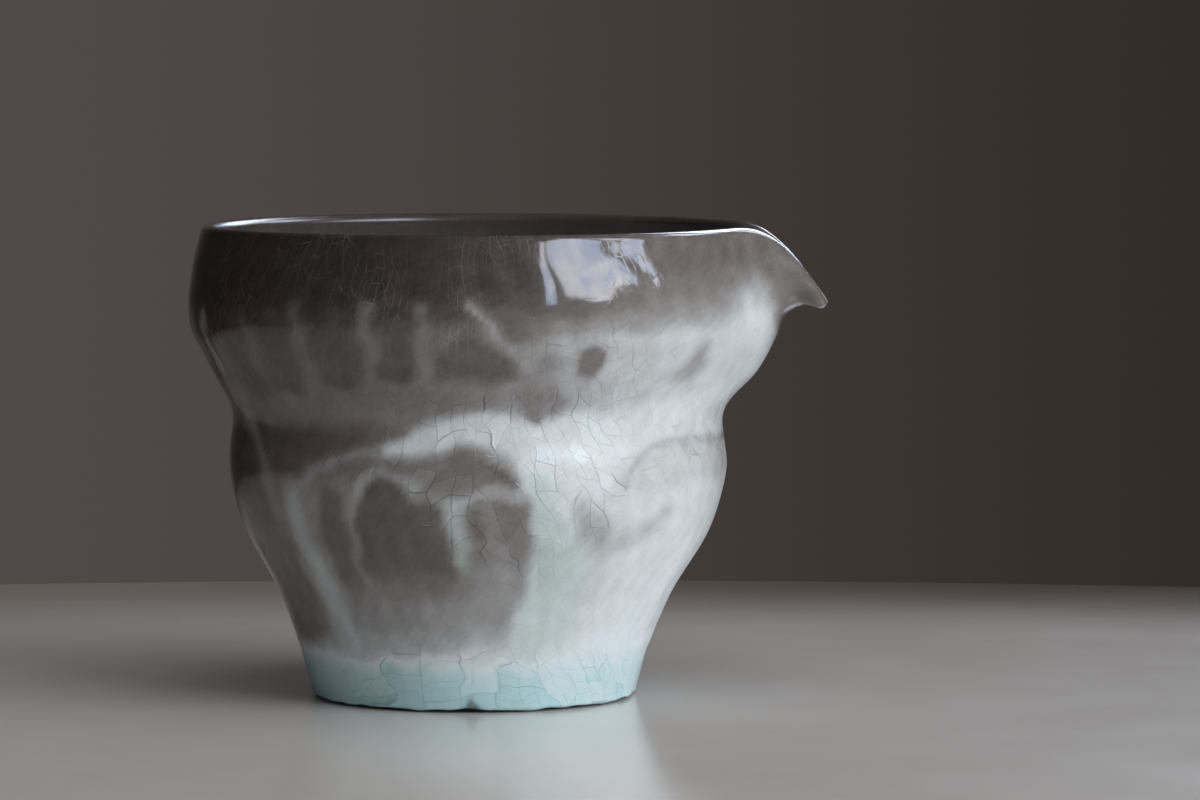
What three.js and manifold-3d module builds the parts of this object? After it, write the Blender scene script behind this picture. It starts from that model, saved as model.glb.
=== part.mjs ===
// A tea pitcher: a two-tier bowl of dark clay on a turned foot ring, with a spout drawn out of its rim.
// A thick glaze coats it outside, inside and under the base. It runs thin over the raised lobes of the
// carved wall and pools in the grooves, at the waist and at the foot.
// Millimetres, +Z up. The spout points along +X. The origin is on the table, at the middle of the footprint.
import * as THREE from "three";
import { mergeVertices } from "three/addons/utils/BufferGeometryUtils.js";
import Module from "manifold-3d";

const wasm = await Module();
wasm.setup();

// Heights and radii of the bowl, on the outside of its glaze
const HEIGHT = 70;
const RIM_RADIUS = 41.0;
const SHOULDER_RADIUS = 42.8;
const SHOULDER_BELOW_RIM = 11.5;
const WAIST_RADIUS = 36.5;
const WAIST_HEIGHT = 42.2;
const BELLY_RADIUS = 36.9;
const BELLY_BELOW_WAIST = 8.2;
const ANKLE_RADIUS = 25.7;
const ANKLE_HEIGHT = 7;
const FOOT_RADIUS = 24.1;

// The foot stands this far behind the bowl's axis, away from the spout, and the wall takes it up by this height
const FOOT_SHIFT = 0.7;
const FOOT_SHIFT_TO = 26;

// Thicknesses, through the clay and both of its glazes where nothing else is said
const WALL = 4.2;
const LIP_WIDTH = 2.5;
const SPOUT_LIP_WIDTH = 2.0;
const LIP_ROUNDING = 1.0;
const FLOOR_TOP = 8.2;

// The floor meets the wall this many stations above the ankle, and rises to it by this power of its radius
const FLOOR_PLACE = 1;
const FLOOR_SHARES = [0.85, 0.6, 0];
const FLOOR_CURVE = 3.2;

// The foot ring, and how far above the table the glaze stops
const FOOT_RING_HEIGHT = 4.2;
const FOOT_RING_WIDTH = 4.8;
const FOOT_RING_CHAMFER = 0.6;
const FOOT_RING_DRAFT = 0.6;
const GLAZE_LINE = 0.9;

// The spout: how far its tip reaches past the rim and hangs below it, half the angle that it takes, and how
// round its tip is as seen from above
const SPOUT_REACH = 10.6;
const SPOUT_DROP = 11.3;
const SPOUT_SPREAD = 14;
const SPOUT_ROUNDNESS = 2.4;
const SPOUT_AZIMUTH = 90;
const SPOUT_SEAM_HALF_WIDTH = 15;
const SPOUT_SEAM_ABOVE_WAIST = 4;

// Glaze thickness over a lobe, in a groove, at the foot, inside the bowl and under its base
const THIN_GLAZE = 0.5;
const POOLED_GLAZE = 1.1;
const FOOT_GLAZE = 1.3;
const INNER_GLAZE = 0.7;
const BASE_GLAZE = 0.7;
const BASE_GLAZE_LINE = 1.9;

// How high the lobes stand over the grooves, on the outside of the glaze
const RELIEF = 0.6;

// Room between two pieces of clay, between a glaze and its clay, and between two glazes
const CLAY_GAP = 0.3;
const GLAZE_GAP = 0.15;
const RIM_GAP = 0.4;

// Facets: round the bowl, narrower at the spout by this share, and on its outside along each span of stations
const SEGMENTS = 68;
const SPOUT_CROWDING = 0.4;
const OUTER_STEPS = 2;

const CLAY = { color: 0x4a3f3a, roughness: 0.8, metalness: 0 };
const FOOT_CLAY = { color: 0x3d322d, roughness: 0.85, metalness: 0 };
const GLAZE = { color: 0xb4bfc0, roughness: 0.12, metalness: 0 };
const LINING = { color: 0xa9b9b8, roughness: 0.12, metalness: 0 };

const clamp = THREE.MathUtils.clamp;
const lerp = THREE.MathUtils.lerp;
const smoothstep = THREE.MathUtils.smoothstep;

// The signed angle in degrees from one azimuth to another, between -180 and 180
function turnFrom(from, to) {
  return THREE.MathUtils.euclideanModulo(to - from + 180, 360) - 180;
}

// Carved lobes. Each is an arch: azimuth of its centre, height of its top above the waist, half its width in
// degrees, its length in millimetres, how strongly it stands out, and how far it leans in degrees per mm.
const UPPER_LOBES = [
  [-57.5, 10.5, 6, 9, 0.75, 1.1],
  [-43.5, 15.3, 6, 11, 0.6, 0.6],
  [-28, 16.5, 5.6, 12, 0.8, 0.5],
  [-15, 14.2, 4.8, 9, 0.85, 0.2],
  [0.5, 13.7, 8.6, 10, 0.95, 0],
  [7, 18.6, 4.2, 6, 0.6, 0.9],
  [24, 11.6, 3.8, 6.5, 0.95, 0],
  [39, 9.4, 4, 4, 0.3, 0],
  [52, 11.4, 3, 6, 0.6, -1.6],
];
const BACK_LOBES = 12;
const BACK_LOBES_FROM = 112;
const BACK_LOBES_PITCH = 15.6;

// A fingered petal of the lower tier, about its own centre, which is repeated with and without mirroring
const FINGERS = [
  [-22.6, -9.3, 4.4, 17, 0.9, 0.2],
  [-9, -8.6, 6.5, 18, 1, 0],
  [3, -6.4, 5, 7, 0.6, 0],
  [13, -3.2, 7.2, 5.5, 0.9, 0],
  [18, -11.5, 7.4, 15, 0.95, 0],
  [4, -15, 23, 17, 0.7, 0],
  [-30, 0.2, 13, 8, 0.85, 0],
  [28, 0, 3.5, 3, 0.5, 0],
];
const FINGERED_PETALS = [
  { azimuth: -12, side: 1 },
  { azimuth: 134, side: -1 },
  { azimuth: 214, side: 1 },
];
const PLAIN_PETALS = [
  [60, -2.8, 23, 16, 0.45, 0],
  [30, -13.7, 4.9, 5, 0.6, 0],
  [-66, -2.3, 10, 10, 0.8, 0],
  [-60, -10, 6, 22, 0.8, 0],
];

function lobeList() {
  const lobes = [...UPPER_LOBES, ...PLAIN_PETALS];
  for (let k = 0; k < BACK_LOBES; k++) {
    const azimuth = BACK_LOBES_FROM + BACK_LOBES_PITCH * k;
    const top = 14.2 + 1.6 * Math.sin(1.3 * k + 0.5);
    lobes.push([azimuth, top, 4.8 + 1.2 * Math.sin(2.1 * k), 8 + 1.5 * Math.cos(k), 0.8, 0]);
  }
  for (const { azimuth, side } of FINGERED_PETALS)
    for (const [turn, top, halfWidth, length, strength, lean] of FINGERS)
      lobes.push([azimuth + side * turn, top, halfWidth, length, strength, side * lean]);
  return lobes;
}
const LOBES = lobeList();

const ARCH_SOFTNESS = 0.28;
const ARCH_MM_PER_DEGREE = 0.6;

// How much of a lobe there is at an azimuth and height: an arch with a firm top that fades downwards
function lobeShare([centre, top, halfWidth, length, strength, lean], azimuth, height) {
  const below = WAIST_HEIGHT + top - height;
  const across = turnFrom(centre + lean * below, azimuth) / halfWidth;
  const archHeight = halfWidth * ARCH_MM_PER_DEGREE;
  const up = Math.max(0, 1 - below / archHeight);
  const inside = 1 - smoothstep(Math.hypot(across, up), 1 - ARCH_SOFTNESS, 1 + ARCH_SOFTNESS);
  return strength * inside * (1 - smoothstep(below, 0.55 * length, 1.15 * length));
}

function lobesAt(azimuth, height) {
  return LOBES.reduce((most, lobe) => Math.max(most, lobeShare(lobe, azimuth, height)), 0);
}

// The carved band reaches from the ankle to the plain band under the rim
function carved(height) {
  const shoulder = HEIGHT - SHOULDER_BELOW_RIM;
  const above = smoothstep(height, ANKLE_HEIGHT, ANKLE_HEIGHT + 4);
  return above * (1 - smoothstep(height, shoulder - 1, shoulder + 4));
}

// Glaze thickness on the outside at an azimuth and height
function outerGlaze(azimuth, height) {
  if (height <= ANKLE_HEIGHT) return FOOT_GLAZE;
  const pooled = carved(height) * (1 - lobesAt(azimuth, height));
  const wall = lerp(THIN_GLAZE, POOLED_GLAZE, pooled);
  return lerp(FOOT_GLAZE, wall, smoothstep(height, ANKLE_HEIGHT, ANKLE_HEIGHT + 4));
}

// Stations of the outer skin of the bowl, from the ankle up to the lip's edge
function bowlStations() {
  const ankle = new THREE.Vector2(ANKLE_RADIUS, ANKLE_HEIGHT);
  const belly = new THREE.Vector2(BELLY_RADIUS, WAIST_HEIGHT - BELLY_BELOW_WAIST);
  const waist = new THREE.Vector2(WAIST_RADIUS, WAIST_HEIGHT);
  const shoulder = new THREE.Vector2(SHOULDER_RADIUS, HEIGHT - SHOULDER_BELOW_RIM);
  const leanOfLip = 0.1 * LIP_WIDTH;
  const lip = new THREE.Vector2(RIM_RADIUS, HEIGHT - LIP_ROUNDING + leanOfLip);
  return [
    ankle,
    between(ankle, belly, 0.34, 0.34),
    between(ankle, belly, 0.79, 0.67),
    belly,
    waist,
    between(waist, shoulder, 0.44, 0.38),
    between(waist, shoulder, 0.92, 0.74),
    shoulder,
    between(shoulder, lip, 0.34, 0.52),
    lip,
  ];
}

// The same stations in the middle plane of the spout, where the wall turns out and down to the tip
function spoutStations(bowl) {
  const tip = new THREE.Vector2(RIM_RADIUS + SPOUT_REACH, HEIGHT - SPOUT_DROP);
  const waist = bowl[4];
  const throat = new THREE.Vector2(tip.x - 6.2, tip.y - 2.5);
  return [
    ...bowl.slice(0, 5),
    between(waist, throat, 0.54, 0.42),
    between(waist, throat, 0.86, 0.78),
    throat,
    new THREE.Vector2(tip.x - 3.7, tip.y - 0.8),
    new THREE.Vector2(tip.x - LIP_ROUNDING, tip.y - 1.3),
  ];
}

function between(low, high, radiusShare, heightShare) {
  return new THREE.Vector2(lerp(low.x, high.x, radiusShare), lerp(low.y, high.y, heightShare));
}

const BOWL_STATIONS = bowlStations();
const BOWL_CURVE = new THREE.SplineCurve(BOWL_STATIONS);
const SPOUT_CURVE = new THREE.SplineCurve(spoutStations(BOWL_STATIONS));

// A place on the wall is a number of stations above the ankle
const EDGE = BOWL_STATIONS.length - 1;

// The share of the spout's shape at an azimuth
function spoutShare(azimuth) {
  const away = Math.abs(turnFrom(SPOUT_AZIMUTH, azimuth)) / SPOUT_SPREAD;
  return Math.exp(-(away ** SPOUT_ROUNDNESS));
}

function around(azimuth, radius, height) {
  const angle = THREE.MathUtils.degToRad(azimuth);
  return new THREE.Vector3(radius * Math.sin(angle), -radius * Math.cos(angle), height);
}

// The smooth outer skin: the rim swings out early and dips late, so the spout's edge is a beak
function smoothSkin(azimuth, place) {
  const bowl = BOWL_CURVE.getPoint(place / EDGE);
  const spout = SPOUT_CURVE.getPoint(place / EDGE);
  const share = spoutShare(azimuth);
  return around(azimuth, lerp(bowl.x, spout.x, share), lerp(bowl.y, spout.y, share * share));
}

// Directions on the smooth skin: out of it, and up it towards the lip, square to the lip's edge
function directions(azimuth, place) {
  const sideways = smoothSkin(azimuth + 0.5, place).sub(smoothSkin(azimuth - 0.5, place));
  const [low, high] = [place - 0.05, place + 0.05].map((there) => clamp(there, 0, EDGE));
  const upward = smoothSkin(azimuth, high).sub(smoothSkin(azimuth, low));
  const out = new THREE.Vector3().crossVectors(sideways, upward).normalize();
  const up = new THREE.Vector3().crossVectors(out, sideways).normalize();
  return { out, up };
}

// One point of the glazed surface and what lies under it, in the direction that goes into the wall
function layer(skin, into, glaze) {
  return {
    skin,
    back: skin.clone().addScaledVector(into, glaze),
    clay: skin.clone().addScaledVector(into, glaze + GLAZE_GAP),
  };
}

function lipWidth(azimuth) {
  return lerp(LIP_WIDTH, SPOUT_LIP_WIDTH, spoutShare(azimuth));
}

function wallThickness(azimuth, place) {
  return lerp(WALL, lipWidth(azimuth), smoothstep(place, EDGE - 3, EDGE));
}

// Glaze runs off the lip, so each coat thins to the same depth there
function thinnedAtLip(glaze, place) {
  return lerp(glaze, THIN_GLAZE, smoothstep(place, EDGE - 3, EDGE));
}

// A point of the rounded lip, at an angle over it from its outer edge, moved across it by a shift
function lipLayer(azimuth, over, shift) {
  const { out, up } = directions(azimuth, EDGE);
  const half = lipWidth(azimuth) / 2;
  const angle = THREE.MathUtils.degToRad(over);
  const skin = smoothSkin(azimuth, EDGE)
    .addScaledVector(out, half * Math.cos(angle) - half + shift)
    .addScaledVector(up, LIP_ROUNDING * Math.sin(angle));
  const into = out.multiplyScalar(-Math.cos(angle)).addScaledVector(up, -Math.sin(angle));
  return layer(skin, into.normalize(), THIN_GLAZE);
}

// The glazed foot below the ankle is a plain cone that ends at the glaze line
function footLayer(azimuth) {
  return layer(around(azimuth, FOOT_RADIUS, GLAZE_LINE), around(azimuth, -1, 0), FOOT_GLAZE);
}

function outerLayer(azimuth, place) {
  const { out } = directions(azimuth, place);
  const smooth = smoothSkin(azimuth, place);
  const raised = RELIEF * carved(smooth.z) * (lobesAt(azimuth, smooth.z) - 0.35);
  const glaze = thinnedAtLip(outerGlaze(azimuth, smooth.z), place);
  return layer(smooth.addScaledVector(out, raised), out.negate(), glaze);
}

function innerLayer(azimuth, place) {
  const { out } = directions(azimuth, place);
  const skin = smoothSkin(azimuth, place).addScaledVector(out, -wallThickness(azimuth, place));
  return layer(skin, out, thinnedAtLip(INNER_GLAZE, place));
}

// The bowl's floor, from the foot of the wall to the axis, at a share of its radius
function floorLayer(azimuth, share) {
  const wall = innerLayer(azimuth, FLOOR_PLACE).skin;
  const radius = Math.hypot(wall.x, wall.y);
  const rise = wall.z - FLOOR_TOP;
  const slope = (rise / radius) * FLOOR_CURVE * share ** (FLOOR_CURVE - 1);
  const into = around(azimuth, slope, -1).normalize();
  return layer(around(azimuth, radius * share, FLOOR_TOP + rise * share ** FLOOR_CURVE), into, INNER_GLAZE);
}

const OUTER_PLACES = Array.from({ length: EDGE * OUTER_STEPS + 1 }, (_, k) => k / OUTER_STEPS);
const INNER_PLACES = Array.from({ length: EDGE - FLOOR_PLACE + 1 }, (_, k) => EDGE - k);

// The layers of the outside at an azimuth, from the glaze line to the crown of the lip
function outside(azimuth) {
  return [
    footLayer(azimuth),
    ...OUTER_PLACES.map((place) => outerLayer(azimuth, place)),
    lipLayer(azimuth, 45, 0),
    lipLayer(azimuth, 90, RIM_GAP / 2),
  ];
}

// The layers of the inside, from the crown of the lip to the middle of the floor
function inside(azimuth) {
  return [
    lipLayer(azimuth, 90, -RIM_GAP / 2),
    lipLayer(azimuth, 135, 0),
    ...INNER_PLACES.map((place) => innerLayer(azimuth, place)),
    ...FLOOR_SHARES.map((share) => floorLayer(azimuth, share)),
  ];
}

// The azimuth of a segment's start, in radians from the front
function azimuthOf(segment) {
  const even = (segment / SEGMENTS) * 2 * Math.PI;
  return even - SPOUT_CROWDING * Math.sin(even - THREE.MathUtils.degToRad(SPOUT_AZIMUTH));
}

// A point where it lies once the foot has been shifted under the bowl
function settled(point) {
  const share = 1 - smoothstep(point.z, FOOT_RING_HEIGHT, FOOT_SHIFT_TO);
  return new THREE.Vector3(point.x - FOOT_SHIFT * share, point.y, point.z);
}

// A closed skin through the points that a function gives at each azimuth, as many at each
function skinned(pointsAt) {
  const columns = Array.from({ length: SEGMENTS }, (_, i) =>
    pointsAt(THREE.MathUtils.radToDeg(azimuthOf(i))).map(settled),
  );
  const rows = columns[0].length;
  const geometry = new THREE.BufferGeometry();
  geometry.setFromPoints(columns.flat());
  const faces = [];
  for (let i = 0; i < SEGMENTS; i++)
    for (let j = 0; j < rows - 1; j++) {
      const a = i * rows + j;
      const b = ((i + 1) % SEGMENTS) * rows + j;
      faces.push(...patch(a, b, columns[0][j + 1].z > columns[0][j].z));
    }
  geometry.setIndex(faces);
  geometry.computeVertexNormals();
  return geometry;
}

// Two triangles between two columns, split from the patch's upper corner in the first to its lower one in the
// second, whichever way the columns run, so that two skins over the same rows are folded alike
function patch(a, b, rising) {
  return rising ? [a, b, a + 1, b + 1, a + 1, b] : [a, b, b + 1, a, b + 1, a + 1];
}

// A closed skin turned from a flat profile of radii and heights
function turned(profile) {
  return skinned((azimuth) => profile.map(([radius, height]) => around(azimuth, radius, height)));
}

function outerGlazePoints(azimuth) {
  const rows = outside(azimuth);
  const loop = [...rows.map((row) => row.skin), ...rows.map((row) => row.back).reverse()];
  return [...loop, loop[0]];
}

function innerGlazePoints(azimuth) {
  const rows = inside(azimuth);
  return [...rows.map((row) => row.back).reverse(), ...rows.map((row) => row.skin)];
}

// The clay cone under the foot's glaze, as its radius at a height
function footClayRadius(height) {
  const low = -footLayer(0).clay.y;
  const high = outerLayer(0, 0).clay;
  return lerp(low, -high.y, (height - GLAZE_LINE) / (high.z - GLAZE_LINE));
}

function clayPoints(azimuth) {
  const wall = [...outside(azimuth).slice(1), ...inside(azimuth)].map((row) => row.clay);
  const middle = around(azimuth, 0, FOOT_RING_HEIGHT);
  return [middle, around(azimuth, footClayRadius(FOOT_RING_HEIGHT), FOOT_RING_HEIGHT), ...wall];
}

function footRingInnerRadius(height) {
  return footClayRadius(0) - FOOT_RING_WIDTH - FOOT_RING_DRAFT * (height / FOOT_RING_HEIGHT);
}

function footRingProfile() {
  const top = FOOT_RING_HEIGHT - CLAY_GAP;
  const start = [footRingInnerRadius(0) + FOOT_RING_CHAMFER, 0];
  return [
    start,
    [footClayRadius(0) - FOOT_RING_CHAMFER, 0],
    [footClayRadius(FOOT_RING_CHAMFER), FOOT_RING_CHAMFER],
    [footClayRadius(top), top],
    [footRingInnerRadius(top), top],
    [footRingInnerRadius(FOOT_RING_CHAMFER), FOOT_RING_CHAMFER],
    start,
  ];
}

// The glaze in the foot's recess: a disc under the floor, turned down a little way inside the ring
function baseGlazeProfile() {
  const top = FOOT_RING_HEIGHT - GLAZE_GAP;
  const bottom = top - BASE_GLAZE;
  const wall = (height) => footRingInnerRadius(height) - GLAZE_GAP;
  const corner = 2 * BASE_GLAZE;
  return [
    [0, bottom],
    [wall(bottom) - corner, bottom],
    [wall(bottom) - BASE_GLAZE, bottom - corner / 2],
    [wall(BASE_GLAZE_LINE) - BASE_GLAZE / 2, BASE_GLAZE_LINE],
    [wall(BASE_GLAZE_LINE), BASE_GLAZE_LINE],
    [wall(top), top],
    [0, top],
  ];
}

// A prism along +X through the spout, U-shaped as seen from the front of the spout
function spoutSeam(halfWidth, bottom) {
  const above = HEIGHT + WALL;
  const shape = new THREE.Shape();
  shape.moveTo(halfWidth, above);
  shape.lineTo(-halfWidth, above);
  shape.lineTo(-halfWidth, bottom + halfWidth);
  shape.absarc(0, bottom + halfWidth, halfWidth, Math.PI, 2 * Math.PI, false);
  shape.closePath();
  const length = RIM_RADIUS + SPOUT_REACH + WALL;
  const prism = new THREE.ExtrudeGeometry(shape, { depth: length, bevelEnabled: false, curveSegments: 10 });
  const alongSpout = new THREE.Matrix4().makeBasis(
    new THREE.Vector3(0, 1, 0),
    new THREE.Vector3(0, 0, 1),
    new THREE.Vector3(1, 0, 0),
  );
  return prism.applyMatrix4(alongSpout);
}

function solidOf(geometry) {
  const bare = geometry.clone();
  bare.deleteAttribute("normal");
  bare.deleteAttribute("uv");
  const merged = mergeVertices(bare, 1e-4);
  return new wasm.Manifold(
    new wasm.Mesh({
      numProp: 3,
      vertProperties: merged.getAttribute("position").array,
      triVerts: new Uint32Array(merged.index.array),
    }),
  );
}

function geometryOf(solid) {
  const mesh = solid.getMesh();
  const geometry = new THREE.BufferGeometry();
  geometry.setAttribute("position", new THREE.BufferAttribute(new Float32Array(mesh.vertProperties), 3));
  geometry.setIndex(new THREE.BufferAttribute(new Uint32Array(mesh.triVerts), 1));
  geometry.computeVertexNormals();
  return geometry;
}

// The clay wall in two pieces, the bowl and the spout luted into the notch cut in it
function clayPieces() {
  const clay = solidOf(skinned(clayPoints));
  const bottom = WAIST_HEIGHT + SPOUT_SEAM_ABOVE_WAIST;
  const spout = clay.intersect(solidOf(spoutSeam(SPOUT_SEAM_HALF_WIDTH, bottom)));
  const notch = solidOf(spoutSeam(SPOUT_SEAM_HALF_WIDTH + CLAY_GAP, bottom - CLAY_GAP));
  return { bowl: geometryOf(clay.subtract(notch)), spout: geometryOf(spout) };
}

function piece(name, geometry, material) {
  const mesh = new THREE.Mesh(geometry, new THREE.MeshStandardMaterial(material));
  mesh.name = name;
  return mesh;
}

const pitcher = new THREE.Group();
const { bowl, spout } = clayPieces();
pitcher.add(
  piece("thrown_body", bowl, CLAY),
  piece("pouring_spout", spout, CLAY),
  piece("foot_ring", turned(footRingProfile()), FOOT_CLAY),
  piece("outer_glaze", skinned(outerGlazePoints), GLAZE),
  piece("inner_glaze", skinned(innerGlazePoints), LINING),
  piece("base_glaze", turned(baseGlazeProfile()), LINING),
);

// The bowl's axis moves back so that the origin is at the middle of the footprint, spout included
const footprint = new THREE.Box3().setFromObject(pitcher).getCenter(new THREE.Vector3());
for (const mesh of pitcher.children) mesh.position.set(-footprint.x, -footprint.y, 0);

export default pitcher;
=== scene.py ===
"""A small tea pitcher: a waisted bowl of dark clay on a turned foot, with a spout drawn out of its rim.

A thick glaze coats it. It runs thin and dark over the carved lobes and at the rim, and pools pale in the
grooves and at the waist. It stands thickest and bluest round the foot, and it is crazed all over. The shapes
are in millimetres about the bowl's own axis, with the azimuth in degrees from the front towards the spout.
"""

import logging
import math
from dataclasses import asdict, dataclass, field
from enum import Enum

import bmesh
import bpy
import numpy as np
from mathutils import Matrix, Vector


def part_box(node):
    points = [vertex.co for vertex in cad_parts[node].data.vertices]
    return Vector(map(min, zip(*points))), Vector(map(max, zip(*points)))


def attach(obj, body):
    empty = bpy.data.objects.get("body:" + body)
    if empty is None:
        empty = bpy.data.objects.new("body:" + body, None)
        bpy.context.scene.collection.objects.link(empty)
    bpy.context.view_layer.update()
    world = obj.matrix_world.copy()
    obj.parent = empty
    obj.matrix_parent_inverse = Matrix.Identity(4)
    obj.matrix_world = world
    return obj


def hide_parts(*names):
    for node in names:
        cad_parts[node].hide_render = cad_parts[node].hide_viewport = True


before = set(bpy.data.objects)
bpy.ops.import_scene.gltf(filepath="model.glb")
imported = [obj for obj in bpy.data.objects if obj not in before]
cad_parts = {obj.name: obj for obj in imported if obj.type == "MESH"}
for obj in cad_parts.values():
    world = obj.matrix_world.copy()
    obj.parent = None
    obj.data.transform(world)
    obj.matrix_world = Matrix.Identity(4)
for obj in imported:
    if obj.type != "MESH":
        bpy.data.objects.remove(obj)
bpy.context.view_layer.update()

Array = np.ndarray
Colour = tuple[float, float, float]
Socket = bpy.types.NodeSocket

LOG = logging.getLogger("tea_pitcher")
MM = 0.001
BODY = "root"

# The flat sheet that the crazing is drawn on: the bowl's girth, and the height of one unit, in millimetres
SHEET_WIDTH = 232.0
SHEET_UNIT = 100.0


def linear(red: int, green: int, blue: int) -> Colour:
    """Gives the linear colour of an sRGB one.

    Args:
        red: Red from 0 to 255.
        green: Green from 0 to 255.
        blue: Blue from 0 to 255.

    Returns:
        The three linear values from 0 to 1.
    """
    def channel(value: int) -> float:
        """Gives one linear channel."""
        share = value / 255
        return share / 12.92 if share <= 0.04045 else ((share + 0.055) / 1.055) ** 2.4

    return channel(red), channel(green), channel(blue)


def turn_from(start: float | Array, end: float | Array) -> float | Array:
    """Gives the signed angle from one azimuth to another, between -180 and 180 degrees."""
    return (end - start + 180.0) % 360.0 - 180.0


def smoothstep(value: Array, low: float, high: float) -> Array:
    """Gives 0 below low, 1 above high and a smooth rise between them."""
    share = np.clip((value - low) / (high - low), 0.0, 1.0)
    return share * share * (3.0 - 2.0 * share)


@dataclass(frozen=True)
class Band:
    """A stretch of heights or of azimuths, which sets in from low to full and ends from spent to high."""

    low: float
    full: float
    spent: float
    high: float

    def share(self, value: Array) -> Array:
        """Gives 1 from full to spent and 0 outside the band, with smooth changes between them."""
        return smoothstep(value, self.low, self.full) * (1.0 - smoothstep(value, self.spent, self.high))


@dataclass(frozen=True)
class Sector:
    """A sector of the bowl, in degrees, which fades from its inner to its outer distance from the centre."""

    centre: float
    inner: float
    outer: float

    def share(self, azimuth: Array) -> Array:
        """Gives 1 near the centre and 0 outside the sector, with a smooth fall between them."""
        return 1.0 - smoothstep(np.abs(turn_from(self.centre, azimuth)), self.inner, self.outer)


def blend(low: float | Array, high: float | Array, share: float | Array) -> float | Array:
    """Gives low at share 0 and high at share 1."""
    return low + (high - low) * share


def curve(here: Array, there: Array, start: Array, end: Array, share: Array) -> Array:
    """Gives points of the cubic from here to there that leaves along start and arrives along end."""
    return (
        (2.0 * here - 2.0 * there + start + end) * share**3
        + (3.0 * there - 3.0 * here - 2.0 * start - end) * share**2
        + start * share
        + here
    )


def unit(vectors: Array) -> Array:
    """Gives the vectors of an array at length 1."""
    return vectors / np.maximum(np.linalg.norm(vectors, axis=-1, keepdims=True), 1e-12)


def around(azimuth: Array, radius: Array, height: Array) -> Array:
    """Gives points at azimuths, radii and heights about the bowl's axis.

    Args:
        azimuth: Degrees from the front towards the spout.
        radius: Millimetres from the axis.
        height: Millimetres above the table.

    Returns:
        An array of points, one row each.
    """
    angle = np.radians(azimuth)
    zero = np.zeros_like(angle)
    return np.stack([radius * np.sin(angle), -radius * np.cos(angle), height + zero], axis=-1)


@dataclass(frozen=True)
class Wave:
    """A smooth uneven wave over the wall, which closes round the bowl.

    Attributes:
        swing: About how far it goes to each side of nought.
        size: Its length in millimetres.
        seed: Picks the waves that it is made of.
    """

    swing: float
    size: float
    seed: int

    mean_radius = 36.0
    count = 9

    def at(self, azimuth: Array, height: Array) -> Array:
        """Gives the wave at points.

        Args:
            azimuth: Degrees round the bowl.
            height: Millimetres above the table.

        Returns:
            How far it goes at each point.
        """
        draw = np.random.default_rng(self.seed)
        turns = 2.0 * math.pi * self.mean_radius / self.size
        total = np.zeros_like(azimuth, dtype=float)
        for _ in range(self.count):
            heading = draw.uniform(0.0, 2.0 * math.pi)
            length = draw.uniform(0.75, 1.5)
            round_bowl = round(turns * math.cos(heading) / length)
            up = 2.0 * math.pi * math.sin(heading) / (self.size * length)
            phase = draw.uniform(0.0, 2.0 * math.pi)
            total += np.sin(round_bowl * np.radians(azimuth) + up * height + phase)
        return self.swing * total / math.sqrt(self.count)


def rippled(azimuth: Array, height: Array, *waves: Wave) -> Array:
    """Gives the sum of some waves at points."""
    return sum(wave.at(azimuth, height) for wave in waves)


def new_object(name: str, mesh: bmesh.types.BMesh) -> bpy.types.Object:
    """Makes an object at the origin out of a mesh, which it frees."""
    data = bpy.data.meshes.new(name)
    mesh.to_mesh(data)
    mesh.free()
    made = bpy.data.objects.new(name, data)
    bpy.context.scene.collection.objects.link(made)
    return made


@dataclass(frozen=True)
class Mark:
    """Something on the wall that changes how deep the glaze stands, over azimuths and heights.

    Attributes:
        points: Its outline or its course, as azimuths in degrees and heights in millimetres.
        depth: How deep the glaze stands on it, where 0 is thin and dark and 1 thick and pale.
        soft: Half the width of its edge, or of the line itself, in millimetres.
        fade: How many millimetres its lower end takes to fade in.
        tint: From -1, iron brown, to 1, green.
        mm_per_degree: How wide one degree is, near enough, on every part of the carved wall.
    """

    points: tuple[tuple[float, float], ...]
    depth: float
    soft: float = 0.8
    fade: float = 0.0
    tint: float = 0.0

    mm_per_degree = 0.61

    def flattened(self, azimuth: Array) -> tuple[Array, Array]:
        """Lays azimuths out flat about the mark's first point.

        Args:
            azimuth: Degrees round the bowl.

        Returns:
            Millimetres round the bowl to each azimuth, and the mark's points in millimetres.
        """
        start = self.points[0][0]
        course = np.array([(turn_from(start, turn), height) for turn, height in self.points])
        return turn_from(start, azimuth) * self.mm_per_degree, course * np.array([self.mm_per_degree, 1.0])

    def share(self, azimuth: Array, height: Array) -> Array:
        """Gives how much of the mark each point takes, from 0 to 1."""
        raise NotImplementedError

    def faded(self, share: Array, height: Array) -> Array:
        """Gives a share that fades in from the mark's lower end."""
        if not self.fade:
            return share
        lowest = min(low for _, low in self.points)
        return share * smoothstep(height, lowest, lowest + self.fade)

    def placed(self, centre: float, target: float, side: int) -> "Mark":
        """Gives the mark moved round the bowl from one azimuth to another, mirrored where side is -1."""
        points = tuple((target + side * (turn - centre), height) for turn, height in self.points)
        return type(self)(points, self.depth, self.soft, self.fade, self.tint)


def distances(across: Array, height: Array, starts: Array, ends: Array) -> Array:
    """Gives each point's distance from the nearest of some lines.

    Args:
        across: Millimetres round the bowl.
        height: Millimetres above the table.
        starts: The lines' first points, one row each.
        ends: Their last points.

    Returns:
        The distances in millimetres.
    """
    nearest = np.full(across.shape, np.inf)
    for (x, y), (end_x, end_y) in zip(starts, ends):
        run, rise = end_x - x, end_y - y
        reach = ((across - x) * run + (height - y) * rise) / max(run * run + rise * rise, 1e-9)
        reach = np.clip(reach, 0.0, 1.0)
        nearest = np.minimum(nearest, np.hypot(across - x - reach * run, height - y - reach * rise))
    return nearest


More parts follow.
